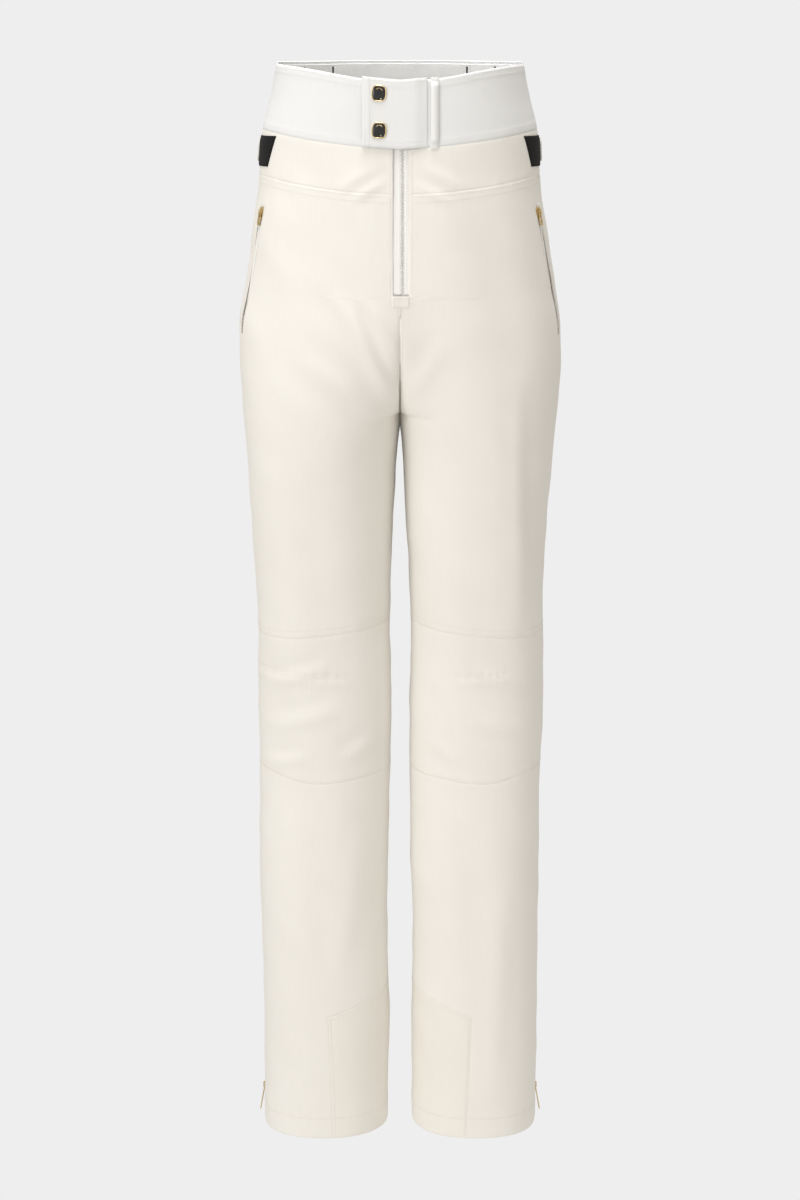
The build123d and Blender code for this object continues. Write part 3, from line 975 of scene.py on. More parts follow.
# ---------------------------------------------------------------- materials
class Nodes:
    """A short way to lay out nodes in a tree."""

    def __init__(self, tree: bpy.types.NodeTree) -> None:
        """Starts with a tree."""
        self.tree = tree

    def add(self, kind: str, **values: object) -> bpy.types.Node:
        """Adds a node and sets its properties.

        Args:
            kind: The node's type.
            **values: Property names and their values.

        Returns:
            The node.
        """
        node = self.tree.nodes.new(kind)
        for name, value in values.items():
            setattr(node, name, value)
        return node

    def link(self, source: bpy.types.NodeSocket, target: bpy.types.NodeSocket) -> None:
        """Joins two sockets."""
        self.tree.links.new(source, target)

    def math(self, operation: str, *terms: bpy.types.NodeSocket | float) -> bpy.types.NodeSocket:
        """A Math node on sockets or numbers, and its result.

        Args:
            operation: The operation's name.
            *terms: Its inputs.

        Returns:
            The socket with the result.
        """
        node = self.add("ShaderNodeMath", operation=operation)
        for socket, term in zip(node.inputs, terms):
            if isinstance(term, (int, float)):
                socket.default_value = term
            else:
                self.link(term, socket)
        return node.outputs[0]


def new_group(name: str, inputs: dict[str, float], outputs: dict[str, str]) -> bpy.types.NodeTree:
    """Starts a shader node group with a vector input, number inputs and named outputs.

    Args:
        name: The group's name.
        inputs: Number inputs with their default values.
        outputs: Output names with their socket types.

    Returns:
        The group, with its input and output nodes in place.
    """
    group = bpy.data.node_groups.new(name, "ShaderNodeTree")
    group.interface.new_socket("Vector", in_out="INPUT", socket_type="NodeSocketVector")
    for label, value in inputs.items():
        socket = group.interface.new_socket(label, in_out="INPUT", socket_type="NodeSocketFloat")
        socket.default_value = value
    for label, kind in outputs.items():
        group.interface.new_socket(label, in_out="OUTPUT", socket_type=kind)
    group.nodes.new("NodeGroupInput")
    group.nodes.new("NodeGroupOutput")
    return group


def weave_group() -> bpy.types.NodeTree:
    """Woven cloth: crossing threads, uneven yarns along the length and a slow cloudy tint.

    The height is the product of two sines plus streak noise.
    The tint is streaks mixed with clouds, about 0.5.

    Returns:
        The node group.
    """
    group = new_group(
        "woven_cloth", {"Threads": 1400.0, "Streak": 0.5},
        {"Height": "NodeSocketFloat", "Tint": "NodeSocketFloat"},
    )
    make = Nodes(group)
    start, end = group.nodes["Group Input"], group.nodes["Group Output"]
    parts = make.add("ShaderNodeSeparateXYZ")
    make.link(start.outputs["Vector"], parts.inputs[0])
    turns = make.math("MULTIPLY", start.outputs["Threads"], 2 * math.pi)
    warp = make.math("SINE", make.math("MULTIPLY", parts.outputs[0], turns))
    weft = make.math("SINE", make.math("MULTIPLY", parts.outputs[1], turns))
    threads = make.math("MULTIPLY", warp, weft)
    stretch = make.add("ShaderNodeMapping")
    stretch.inputs["Scale"].default_value = (900.0, 26.0, 1.0)
    make.link(start.outputs["Vector"], stretch.inputs["Vector"])
    streaks = make.add("ShaderNodeTexNoise")
    streaks.inputs["Scale"].default_value = 1.0
    streaks.inputs["Detail"].default_value = 2.0
    make.link(stretch.outputs[0], streaks.inputs["Vector"])
    clouds = make.add("ShaderNodeTexNoise")
    clouds.inputs["Scale"].default_value = 9.0
    clouds.inputs["Detail"].default_value = 3.0
    make.link(start.outputs["Vector"], clouds.inputs["Vector"])
    yarn = make.math("MULTIPLY", streaks.outputs[0], start.outputs["Streak"])
    height = make.math("ADD", make.math("MULTIPLY", threads, 0.35), yarn)
    make.link(height, end.inputs["Height"])
    tint = make.math("ADD", make.math("MULTIPLY", streaks.outputs[0], 0.45),
                     make.math("MULTIPLY", clouds.outputs[0], 0.55))
    make.link(tint, end.inputs["Tint"])
    return group


def grain_group() -> bpy.types.NodeTree:
    """Fine surface grain for metal, enamel and moulded parts: two sizes of noise in Object coordinates.

    Returns:
        The node group.
    """
    group = new_group(
        "fine_grain", {"Scale": 900.0}, {"Height": "NodeSocketFloat", "Mask": "NodeSocketFloat"}
    )
    make = Nodes(group)
    start, end = group.nodes["Group Input"], group.nodes["Group Output"]
    fine, broad = make.add("ShaderNodeTexNoise"), make.add("ShaderNodeTexNoise")
    for node, factor in ((fine, 1.0), (broad, 0.12)):
        make.link(start.outputs["Vector"], node.inputs["Vector"])
        make.link(make.math("MULTIPLY", start.outputs["Scale"], factor), node.inputs["Scale"])
        node.inputs["Detail"].default_value = 3.0
    make.link(fine.outputs[0], end.inputs["Height"])
    make.link(broad.outputs[0], end.inputs["Mask"])
    return group


class Coordinates(Enum):
    """Which coordinates a finish's pattern follows."""

    CLOTH = "UV"
    OBJECT = "Object"


def spread_colour(
    make: Nodes, mask: bpy.types.NodeSocket, dark: tuple, light: tuple, low: float, high: float
) -> bpy.types.NodeSocket:
    """A colour that runs from one to another as a mask goes from low to high.

    Args:
        make: The material's tree.
        mask: The mask.
        dark: Colour at the low end.
        light: Colour at the high end.
        low: Mask value of the low end.
        high: Mask value of the high end.

    Returns:
        The socket with the colour.
    """
    ramp = make.add("ShaderNodeValToRGB")
    ramp.color_ramp.elements[0].position = low
    ramp.color_ramp.elements[0].color = (*dark, 1)
    ramp.color_ramp.elements[1].position = high
    ramp.color_ramp.elements[1].color = (*light, 1)
    make.link(mask, ramp.inputs[0])
    return ramp.outputs[0]


@dataclass(frozen=True)
class ClothFinish:
    """A woven or knitted cloth: its two tints, thread count, relief, roughness and sheen."""

    name: str
    dark: tuple[float, float, float]
    light: tuple[float, float, float]
    threads: float = 1400.0
    streak: float = 0.6
    depth: float = 0.12
    roughness: float = 0.82
    sheen: float = 0.12
    coordinates: Coordinates = Coordinates.CLOTH

    def make(self, library: "Library") -> bpy.types.Material:
        """Builds the material: weave into bump, streaks and clouds into colour and roughness.

        Args:
            library: The library with the shared groups.

        Returns:
            The material.
        """
        material, make, shader = library.blank(self.name)
        weave = make.add("ShaderNodeGroup", node_tree=library.weave)
        weave.inputs["Threads"].default_value = self.threads
        weave.inputs["Streak"].default_value = self.streak
        place = make.add("ShaderNodeTexCoord")
        make.link(place.outputs[self.coordinates.value], weave.inputs["Vector"])
        colour = spread_colour(make, weave.outputs["Tint"], self.dark, self.light, 0.35, 0.65)
        make.link(colour, shader.inputs["Base Color"])
        rough = make.math("MULTIPLY_ADD", weave.outputs["Tint"], 0.1, self.roughness - 0.05)
        make.link(rough, shader.inputs["Roughness"])
        bump = make.add("ShaderNodeBump")
        bump.inputs["Strength"].default_value = self.depth
        bump.inputs["Distance"].default_value = 0.0003
        make.link(weave.outputs["Height"], bump.inputs["Height"])
        make.link(bump.outputs[0], shader.inputs["Normal"])
        shader.inputs["Sheen Weight"].default_value = self.sheen
        shader.inputs["Sheen Roughness"].default_value = 0.5
        shader.inputs["Specular IOR Level"].default_value = 0.25
        return material


@dataclass(frozen=True)
class HardFinish:
    """A metal, enamel or moulded finish: two tints, metallic share, roughness, grain and coat."""

    name: str
    dark: tuple[float, float, float]
    light: tuple[float, float, float]
    metallic: float = 0.0
    roughness: float = 0.3
    spread: float = 0.12
    grain: float = 900.0
    depth: float = 0.03
    coat: float = 0.0

    def make(self, library: "Library") -> bpy.types.Material:
        """Builds the material: grain into bump, broad smudges into colour and roughness.

        Args:
            library: The library with the shared groups.

        Returns:
            The material.
        """
        material, make, shader = library.blank(self.name)
        grain = make.add("ShaderNodeGroup", node_tree=library.grain)
        grain.inputs["Scale"].default_value = self.grain
        place = make.add("ShaderNodeTexCoord")
        make.link(place.outputs["Object"], grain.inputs["Vector"])
        colour = spread_colour(make, grain.outputs["Mask"], self.dark, self.light, 0.3, 0.7)
        make.link(colour, shader.inputs["Base Color"])
        least = self.roughness - self.spread / 2
        rough = make.math("MULTIPLY_ADD", grain.outputs["Mask"], self.spread, least)
        make.link(rough, shader.inputs["Roughness"])
        bump = make.add("ShaderNodeBump")
        bump.inputs["Strength"].default_value = self.depth
        bump.inputs["Distance"].default_value = 0.0002
        make.link(grain.outputs["Height"], bump.inputs["Height"])
        make.link(bump.outputs[0], shader.inputs["Normal"])
        shader.inputs["Metallic"].default_value = self.metallic
        shader.inputs["Coat Weight"].default_value = self.coat
        return material


class Library:
    """The garment's finishes, each a material built once."""

    FINISHES = {
        "shell_fabric": ClothFinish(
            "cream_softshell", (0.862, 0.838, 0.792), (0.892, 0.870, 0.828), depth=0.09
        ),
        "guard_fabric": ClothFinish(
            "cream_guard_cloth", (0.858, 0.826, 0.770), (0.886, 0.856, 0.803), threads=900, depth=0.14
        ),
        "waistband_fabric": ClothFinish(
            "white_band_cloth", (0.80, 0.803, 0.812), (0.83, 0.833, 0.842), threads=1700, streak=0.35,
            depth=0.07, roughness=0.7, sheen=0.08,
        ),
        "lining_fabric": ClothFinish(
            "grey_white_lining", (0.86, 0.865, 0.87), (0.92, 0.925, 0.93), threads=1100, depth=0.16,
            roughness=0.88,
        ),
        "black_hook_tape": ClothFinish(
            "black_hook_tape", (0.004, 0.004, 0.005), (0.012, 0.012, 0.013), threads=700, streak=1.0,
            depth=0.6, roughness=0.92, sheen=0.02,
        ),
        "zip_tape": ClothFinish(
            "white_zip_tape", (0.88, 0.875, 0.86), (0.93, 0.925, 0.91), threads=800, streak=0.8, depth=0.3,
            roughness=0.8,
        ),
        "zip_teeth": HardFinish(
            "moulded_zip_teeth", (0.68, 0.675, 0.66), (0.78, 0.775, 0.76), roughness=0.45
        ),
        "gold_metal": HardFinish(
            "polished_gold", (0.70, 0.52, 0.26), (0.90, 0.75, 0.47), metallic=1.0, roughness=0.2, depth=0.05
        ),
        "black_enamel": HardFinish(
            "black_enamel", (0.006, 0.006, 0.007), (0.016, 0.016, 0.017), roughness=0.16, coat=0.7
        ),
        "thread": ClothFinish(
            "cream_thread", (0.80, 0.76, 0.68), (0.88, 0.85, 0.79), threads=2500, depth=0.3, roughness=0.6,
            sheen=0.2, coordinates=Coordinates.OBJECT,
        ),
        "white_thread": ClothFinish(
            "white_thread", (0.84, 0.84, 0.83), (0.92, 0.92, 0.91), threads=2500, depth=0.3, roughness=0.6,
            sheen=0.2, coordinates=Coordinates.OBJECT,
        ),
    }

    def __init__(self) -> None:
        """Builds the shared groups and every finish."""
        self.weave, self.grain = weave_group(), grain_group()
        self.materials = {slot: finish.make(self) for slot, finish in self.FINISHES.items()}

    @staticmethod
    def blank(name: str) -> tuple[bpy.types.Material, Nodes, bpy.types.Node]:
        """A new node material, its tree and its shader.

        Args:
            name: The material's name.

        Returns:
            The material, its tree and its shader.
        """
        material = bpy.data.materials.new(name)
        material.use_nodes = True
        return material, Nodes(material.node_tree), material.node_tree.nodes["Principled BSDF"]

    def dress(self, obj: bpy.types.Object, slot: str) -> None:
        """Gives a piece its finish.

        Args:
            obj: The piece.
            slot: The name of its finish.
        """
        obj.data.materials.clear()
        obj.data.materials.append(self.materials[slot])


# ---------------------------------------------------------------- sub-assemblies
KNEE_START, KNEE_END = -0.470, -0.690


@dataclass
class Assembly:
    """What every sub-assembly shares: its finishes and the way pieces are put on their bodies."""

    library: Library

    def place(
        self, obj: bpy.types.Object, slot: str, body: str, replaces: tuple[str, ...] = ()
    ) -> bpy.types.Object:
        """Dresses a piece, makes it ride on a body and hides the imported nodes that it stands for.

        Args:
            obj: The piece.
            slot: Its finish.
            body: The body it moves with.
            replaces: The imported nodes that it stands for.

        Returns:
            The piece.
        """
        self.library.dress(obj, slot)
        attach(obj, body)
        if replaces:
            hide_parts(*replaces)
        LOG.info("%s rides on %s", obj.name, body)
        return obj

    def bend(
        self, obj: bpy.types.Object, slot: str, bodies: tuple[str, str], start: tuple, end: tuple,
        replaces: tuple[str, ...] = (),
    ) -> bpy.types.Object:
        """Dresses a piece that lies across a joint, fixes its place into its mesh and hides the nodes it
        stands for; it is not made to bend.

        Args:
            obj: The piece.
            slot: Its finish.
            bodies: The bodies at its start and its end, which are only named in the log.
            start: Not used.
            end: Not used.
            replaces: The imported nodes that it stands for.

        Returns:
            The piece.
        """
        self.library.dress(obj, slot)
        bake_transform(obj)
        if replaces:
            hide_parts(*replaces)
        LOG.info("%s bends between %s and %s", obj.name, *bodies)
        return obj

    def bend_at_knee(
        self, obj: bpy.types.Object, slot: str, side: Side, replaces: tuple[str, ...] = ()
    ) -> bpy.types.Object:
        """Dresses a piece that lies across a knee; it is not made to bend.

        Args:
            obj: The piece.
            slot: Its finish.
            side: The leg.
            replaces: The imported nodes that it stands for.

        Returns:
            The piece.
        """
        x = side.value * LEG_MIDDLE * MM
        bodies = ("pants", f"lower_leg_{side.word}")
        return self.bend(obj, slot, bodies, (x, 0, KNEE_START), (x, 0, KNEE_END), replaces)


@dataclass
class Legs(Assembly):
    """The cream cloth: yokes, thighs, knees, lower legs, guards and the crotch."""

    slot_left: float = 9.0
    slot_right: float = 7.0
    slot_end: float = -154.0
    pocket_half: float = 4.6
    pocket_top: float = -69.5
    pocket_low: float = -197.8
    hem_zip_half: float = 5.0
    hem_zip_top: float = -836.0
    dart_z: float = -541.0
    gusset_side: float = 0.0182

    def fly_edge(self, side: Side) -> float:
        """Distance of the fly slot's edge from the centre line on one half."""
        return self.slot_left if side is Side.LEFT else self.slot_right

    def pocket_line(self, off: float) -> Rule:
        """The section line along a pocket's zip, shifted forwards by an amount."""
        return lambda z: BODY.s_at_y(41.0 + (z + 76.0) * 0.1008 + off, z)

    def hem_line(self, back: bool) -> Rule:
        """The side seam, which opens round the hem zip in its lower part."""
        return stepped(at_s(0.5), at_y(self.hem_zip_half, back), self.hem_zip_top)

    def dart(self, side: Side) -> Callable[[Array, Array, Array], Array]:
        """The relief of a knee's dart: a pinched line across it, and puckers beside the line.

        Args:
            side: The leg.

        Returns:
            The relief, from section place, height and points.
        """
        inner, outer = (50.0, 150.0) if side is Side.RIGHT else (56.0, 108.0)

        def rise(tau: Array, z: Array, points: Array) -> Array:
            """Height of the pinch and its puckers at each point."""
            x = np.abs(points[:, 0])
            front = ease(-points[:, 1], 5, 20)
            inside = ease(x, inner - 6, inner + 4) * (1 - ease(x, outer - 4, outer + 6)) * front
            off = z - self.dart_line(x)
            pinch = -0.9 * np.exp(-((off / 1.4) ** 2)) + 0.7 * np.exp(-(((off + 7) / 5.0) ** 2))
            puckers = 0.35 * np.exp(-((off / 7) ** 2)) * np.sin(x / 1.5 + 2 * np.sin(x / 8.0))
            return inside * (pinch + puckers)

        return rise

    def dart_line(self, x: Array) -> Array:
        """Height of the knee dart from the distance to the centre line."""
        return self.dart_z + 0.05 * (x - 100)

    def build(self) -> None:
        """Builds every panel, with its stitches."""
        self.build_back_yoke()
        for side in Side:
            self.build_half(side)
            self.build_lower_leg(side)
        self.build_gusset()
        self.build_stitches()

    def build_back_yoke(self) -> None:
        """Builds the yoke across the seat, from one side seam round to the other."""
        yoke = Panel("seat_yoke", Side.LEFT, (at_s(0.5), at_s(1.0), at_s(1.5)),
                     (seam(SEAMS.yoke_back), seam(SEAMS.waist_back)), sewing=Sewing(roll=0.5))
        obj = self.place(yoke.build(), "shell_fabric", "pants", ("back_yoke",))
        yoke.declare(["waistband_back"])

    def build_half(self, side: Side) -> None:
        """Builds one half's front yoke, thigh panels and knee panels.

        Args:
            side: The half of the garment.
        """
        fly = at_x(self.fly_edge(side))
        yoke = Panel(f"front_yoke_cloth_{side.word}", side, (fly, at_s(0.5)),
                     (seam(SEAMS.yoke_front), seam(SEAMS.waist_front)))
        obj = self.place(yoke.build(), "shell_fabric", "pants", (f"front_yoke_{side.word}",))
        yoke.declare([f"waistband_front_{side.word}"])
        columns = (stepped(fly, at_s(0.0), self.slot_end), self.pocket_line(self.pocket_half),
                   self.pocket_line(-self.pocket_half), at_s(0.5))
        front = Panel(
            f"thigh_front_{side.word}", side, columns,
            (seam(SEAMS.knee_top), level(self.pocket_low), level(self.pocket_top), seam(SEAMS.yoke_front)),
            left_out=((1, 1),), close=(BODY.crotch_z, BODY.crotch_z + 20),
        )
        obj = self.bend_at_knee(front.build(), "shell_fabric", side, (f"front_panel_{side.word}",))
        front.declare([f"front_yoke_{side.word}"])
        back = Panel(f"thigh_back_{side.word}", side, (at_s(0.5), at_s(1.0)),
                     (seam(SEAMS.knee_top), seam(SEAMS.yoke_back)), close=(BODY.crotch_z, BODY.crotch_z + 20))
        obj = self.bend_at_knee(back.build(), "shell_fabric", side, (f"back_panel_{side.word}",))
        back.declare(["back_yoke"])
        rows = (seam(SEAMS.knee_bottom), seam(SEAMS.knee_top))
        knee = Panel(f"knee_front_{side.word}", side, (at_s(0.0), at_s(0.5)), rows, extra=self.dart(side))
        obj = self.bend_at_knee(knee.build(), "shell_fabric", side, (f"knee_panel_{side.word}",))
        knee.declare([f"front_panel_{side.word}"])
        hollow = Panel(f"knee_back_{side.word}", side, (at_s(0.5), at_s(1.0)), rows)
        obj = self.bend_at_knee(hollow.build(), "shell_fabric", side, (f"back_knee_{side.word}",))
        hollow.declare([f"back_panel_{side.word}"])

    def build_lower_leg(self, side: Side) -> None:
        """Builds one lower leg: shin and calf, cut out round the ankle guard, and the guard.

        Args:
            side: The leg.
        """
        rows = (level(SEAMS.hem), SEAMS.guard_top(), seam(SEAMS.knee_bottom))
        columns = (at_s(0.0), SEAMS.guard_side(), self.hem_line(False))
        shin = Panel(f"shin_cloth_{side.word}", side, columns, rows, left_out=((0, 0),))
        obj = self.bend_at_knee(shin.build(), "shell_fabric", side, (f"shin_panel_{side.word}",))
        shin.declare([f"knee_panel_{side.word}"])
        columns = (self.hem_line(True), SEAMS.guard_side(True), at_s(1.0))
        calf = Panel(f"calf_cloth_{side.word}", side, columns, rows, left_out=((1, 0),))
        obj = self.bend_at_knee(calf.build(), "shell_fabric", side, (f"calf_panel_{side.word}",))
        calf.declare([f"back_knee_{side.word}"])
        columns = (SEAMS.guard_side(True), SEAMS.guard_side(past=True))
        guard = Panel(f"ankle_guard_cloth_{side.word}", side, columns, rows[:2], leg=True, wall=1.5)
        nodes = (f"ankle_guard_{side.word}",)
        obj = self.place(guard.build(), "guard_fabric", f"lower_leg_{side.word}", nodes)
        guard.declare([f"shin_panel_{side.word}", f"calf_panel_{side.word}"])

    def build_gusset(self) -> None:
        """Builds the diamond under the crotch: a saddle, low at its middle, between rounded corners."""
        a, b = np.meshgrid(np.linspace(-1, 1, 25), np.linspace(-1, 1, 25), indexing="ij")
        x, y = 6.0 * (a + b), 6.75 * (a - b)
        z = -275.2 + 0.012 * x**2 + 0.006 * y**2
        points = np.stack((x, y, z), -1).reshape(-1, 3)
        gusset = make_object("crotch_diamond", points, grid_faces(25, 25), points[:, :2] * MM)
        thicken(gusset, 1.2)
        self.place(gusset, "shell_fabric", "pants", ("crotch_gusset",))

    def build_stitches(self) -> None:
        """Builds the rows of stitches on the trunk, and each leg's rows."""
        thread = Thread()
        rows = []
        for side in Side:
            fly = at_x(self.fly_edge(side) + 2.6)
            rows.append(upright_run(side, fly, self.slot_end - 11, -14))
            for shift in (-2.4, -8.0):
                first = at_x(self.fly_edge(side) + 5)
                rows.append(seam_run(side, first, at_s(0.498), seam(SEAMS.yoke_front, shift)))
            rows.append(seam_run(side, at_s(0.502), at_s(0.999), seam(SEAMS.yoke_back, -2.4)))
            for off in (self.pocket_half + 2.4, -self.pocket_half - 2.4):
                line = self.pocket_line(off)
                rows.append(upright_run(side, line, self.pocket_low - 2, self.pocket_top + 2))
            rows.append(upright_run(side, at_x(2.4), -252, self.slot_end - 12))
            rows.append(upright_run(side, at_x(2.4, back=True), -252, -64))
        self.place(thread.mesh("trunk_stitches", rows), "thread", "pants")
        for side in Side:
            self.place_leg_stitches(side, thread)

    def place_leg_stitches(self, side: Side, thread: Thread) -> None:
        """Builds one leg's stitches: side seam, knee seams, darts and guard.

        Args:
            side: The leg.
            thread: The kind of stitch.
        """
        front, back = at_s(0.004), at_s(0.996)
        rows = [
            seam_run(side, front, at_s(0.497), seam(SEAMS.knee_top, 2.4)),
            seam_run(side, front, at_s(0.497), seam(SEAMS.knee_top, 8.0)),
            seam_run(side, front, at_s(0.497), seam(SEAMS.knee_bottom, 2.4)),
            seam_run(side, at_s(0.503), back, seam(SEAMS.knee_top, 2.4)),
            seam_run(side, at_s(0.503), back, seam(SEAMS.knee_bottom, -2.4)),
            upright_run(side, at_y(2.4), self.hem_zip_top + 4, SEAMS.yoke_front[3] - 4),
            upright_run(side, at_y(8.0, back=True), self.hem_zip_top + 4, SEAMS.yoke_back[3] - 4),
        ]
        inner, outer = (50.0, 146.0) if side is Side.RIGHT else (56.0, 107.0)
        rows.append(seam_run(side, at_x(inner), at_x(outer), lambda x: self.dart_line(x) - 1.6, 0.5))
        self.bend_at_knee(thread.mesh(f"leg_stitches_{side.word}", rows), "thread", side)
        zip_off = self.hem_zip_half + 2.4
        low = [
            upright_run(side, at_y(zip_off), SEAMS.hem + 3, self.hem_zip_top),
            upright_run(side, at_y(zip_off, back=True), SEAMS.hem + 3, self.hem_zip_top),
            seam_run(side, SEAMS.guard_side(True), SEAMS.guard_side(past=True),
                     lambda x: SEAMS.guard_top()(x) - 2.4, leg=True),
            seam_run(side, at_y(zip_off, back=True), at_s(0.999), level(SEAMS.hem + 22), leg=True),
            seam_run(side, at_s(0.001), at_y(zip_off), level(SEAMS.hem + 22), leg=True),
        ]
        for line in (SEAMS.guard_side(), SEAMS.guard_side(True)):
            low.append(upright_run(side, lambda z, f=line: f(z) + (-0.006 if f(z)[0] < 0.5 else 0.006),
                                   SEAMS.hem + 3, SEAMS.guard_corner[1] - 3))
        self.place(thread.mesh(f"ankle_stitches_{side.word}", low), "thread", f"lower_leg_{side.word}")


@dataclass
class Waistband(Assembly):
    """The high white waistband: fronts, back, lining and belt loops."""

    lining_drop: float = 3.0
    lining_depth: float = 1.8
    lining_wall: float = 1.2
    lining_tall: float = 0.073
    lining_mean_tall: float = 0.066
    lining_gap: tuple = (7.3, 12.3)
    loop_x: float = 33.5
    back_loop_x: float = 62.0
    loop_half: float = 3.8
    slit_x: tuple = (70.0, 99.0)

    def build(self) -> None:
        """Builds the band's pieces and stitches."""
        sewing = Sewing(roll=0.6, allowance=0.25)
        legs = Legs(self.library)
        for side in Side:
            band = Panel(f"band_front_{side.word}", side, (at_x(legs.fly_edge(side)), at_s(0.5)),
                         (seam(SEAMS.waist_front), seam(SEAMS.rim_front)), wall=1.5, sewing=sewing)
            obj = self.place(band.build(), "waistband_fabric", "pants", (f"waistband_front_{side.word}",))
            band.declare([f"front_yoke_{side.word}"])
        back = Panel("band_back", Side.LEFT, (at_s(0.5), at_s(1.0), at_s(1.5)),
                     (seam(SEAMS.waist_back), seam(SEAMS.rim_back)), wall=1.5, sewing=sewing)
        obj = self.place(back.build(), "waistband_fabric", "pants", ("waistband_back",))
        back.declare(["back_yoke"])
        self.build_lining()
        self.build_loops()
        self.build_stitches(legs)

    def build_lining(self) -> None:
        """Builds the lining, one strip from one edge of the fly round the back to the other."""
        front_rows = (seam(SEAMS.waist_front), seam(SEAMS.rim_front, -self.lining_drop))
        back_rows = (seam(SEAMS.waist_back), seam(SEAMS.rim_back, -self.lining_drop))
        sewing = Sewing(roll=0.0, allowance=0.0, pucker=0.2)
        strips = [
            Panel(name, side, columns, rows, out=-self.lining_depth, sewing=sewing)
            for name, side, columns, rows in (
                ("lining", Side.LEFT, (at_x(self.lining_gap[1]), at_s(0.5)), front_rows),
                ("lining_r", Side.RIGHT, (at_x(self.lining_gap[0]), at_s(0.5)), front_rows),
                ("lining_b", Side.LEFT, (at_s(0.5), at_s(1.0), at_s(1.5)), back_rows),
            )
        ]
        obj = join_meshes("band_lining", [strip.build() for strip in strips])
        thicken(obj, self.lining_wall)
        self.place(obj, "lining_fabric", "pants", ("waistband_lining",))

    def build_loops(self) -> None:
        """Builds the belt loops: strips that stand off the band between their sewn feet."""
        places = (
            (self.loop_x, False, Side.LEFT, -12.5, 55.5),
            (self.back_loop_x, True, Side.LEFT, 3.0, 70.0),
            (self.back_loop_x, True, Side.RIGHT, 3.0, 70.0),
        )
        pieces = []
        for x, back, side, low, high in places:
            first, last = at_x(x - self.loop_half, back), at_x(x + self.loop_half, back)
            if back:
                first, last = last, first

            def arch(tau: Array, z: Array, points: Array, low: float = low, high: float = high) -> Array:
                """Height of the strip: flat feet, a rise over four millimetres, rounded from edge to edge."""
                stand = ease(z, low + 3.5, low + 8) * (1 - ease(z, high - 8, high - 3.5))
                across = (np.abs(points[:, 0]) - (self.loop_x if points[0, 1] < 0 else self.back_loop_x)) / 4
                return (1.0 + 0.9 * np.cos(across * math.pi / 2)) * stand + 0.5 * np.cos(across * math.pi / 2)

            sewing = Sewing(roll=0.35, roll_width=1.2, allowance=0, pucker=0.05)
            strip = Panel("loop", side, (first, last), (level(low), level(high)), step=0.9, out=1.3,
                          wall=1.2, extra=arch, sewing=sewing)
            pieces.append(strip.build())
        obj = join_meshes("belt_loop_strips", pieces)
        thicken(obj, 1.2, 0.4)
        self.place(obj, "waistband_fabric", "pants", ("belt_loops",))

    def build_stitches(self, legs: Legs) -> None:
        """Builds the stitches along the rim and the lining's seams, and the lining's slits, which are black
        strips of painted shade in place of their dark gaps.

        Args:
            legs: The legs' measures, for the fly's edges.
        """
        rows = []
        for side in Side:
            fly = at_x(legs.fly_edge(side) + 1)
            for shift in (-2.2, -7.0):
                rows.append(seam_run(side, fly, at_s(0.498), seam(SEAMS.rim_front, shift)))
                rows.append(seam_run(side, at_s(0.502), at_s(0.999), seam(SEAMS.rim_back, shift)))
            for x in self.slit_x:
                for off in (-2.6, 2.6):
                    line = at_x(x + off, back=True)
                    z = np.linspace(4, 69, 30)
                    points, normals = cloth_point(line(z), z, side, -self.lining_depth - 1.45)
                    rows.append((points, -normals))
        self.place(Thread(pitch=2.8).mesh("band_stitches", rows), "white_thread", "pants")
        # Each slit is a thin black sheet on the lining's inner face: painted shade that stands for the dark
        # gap of the slit, not a real black part.
        slit_shadows = []
        for side in Side:
            for x in self.slit_x:
                columns = (at_x(x + 0.8, True), at_x(x - 0.8, True))
                slit_shadow = Panel("slit_shadow", side, columns, (level(48.0), level(67.0)), step=0.8,
                             out=-self.lining_depth - 1.15, sewing=Sewing(0, 1, 0, 7, 0))
                slit_shadows.append(slit_shadow.build())
        obj = join_meshes("lining_slit_shadows", slit_shadows)
        thicken(obj, 0.25)
        # The black hook tape's finish here is painted shade for the slits' gaps.
        self.place(obj, "black_hook_tape", "pants")


def join_meshes(name: str, pieces: list[bpy.types.Object]) -> bpy.types.Object:
    """Joins bare meshes into one object, without their modifiers.

    Args:
        name: The joined piece's name.
        pieces: The objects, which are used up.

    Returns:
        The joined object.
    """
    verts, faces, uvs, base = [], [], [], 0
    for obj in pieces:
        mesh = obj.data
        co = np.empty(len(mesh.vertices) * 3)
        mesh.vertices.foreach_get("co", co)
        index = np.empty(len(mesh.loops), dtype=np.int32)
        mesh.loops.foreach_get("vertex_index", index)
        pairs = np.empty(len(mesh.loops) * 2)
        mesh.uv_layers[0].data.foreach_get("uv", pairs)
        uv = np.zeros((len(mesh.vertices), 2))
        uv[index] = pairs.reshape(-1, 2)
        verts.append(co.reshape(-1, 3) / MM)
        faces.append(index.reshape(-1, 4) + base)
        uvs.append(uv)
        base += len(mesh.vertices)
        bpy.data.objects.remove(obj)
    return make_object(name, np.concatenate(verts), np.concatenate(faces), np.concatenate(uvs))


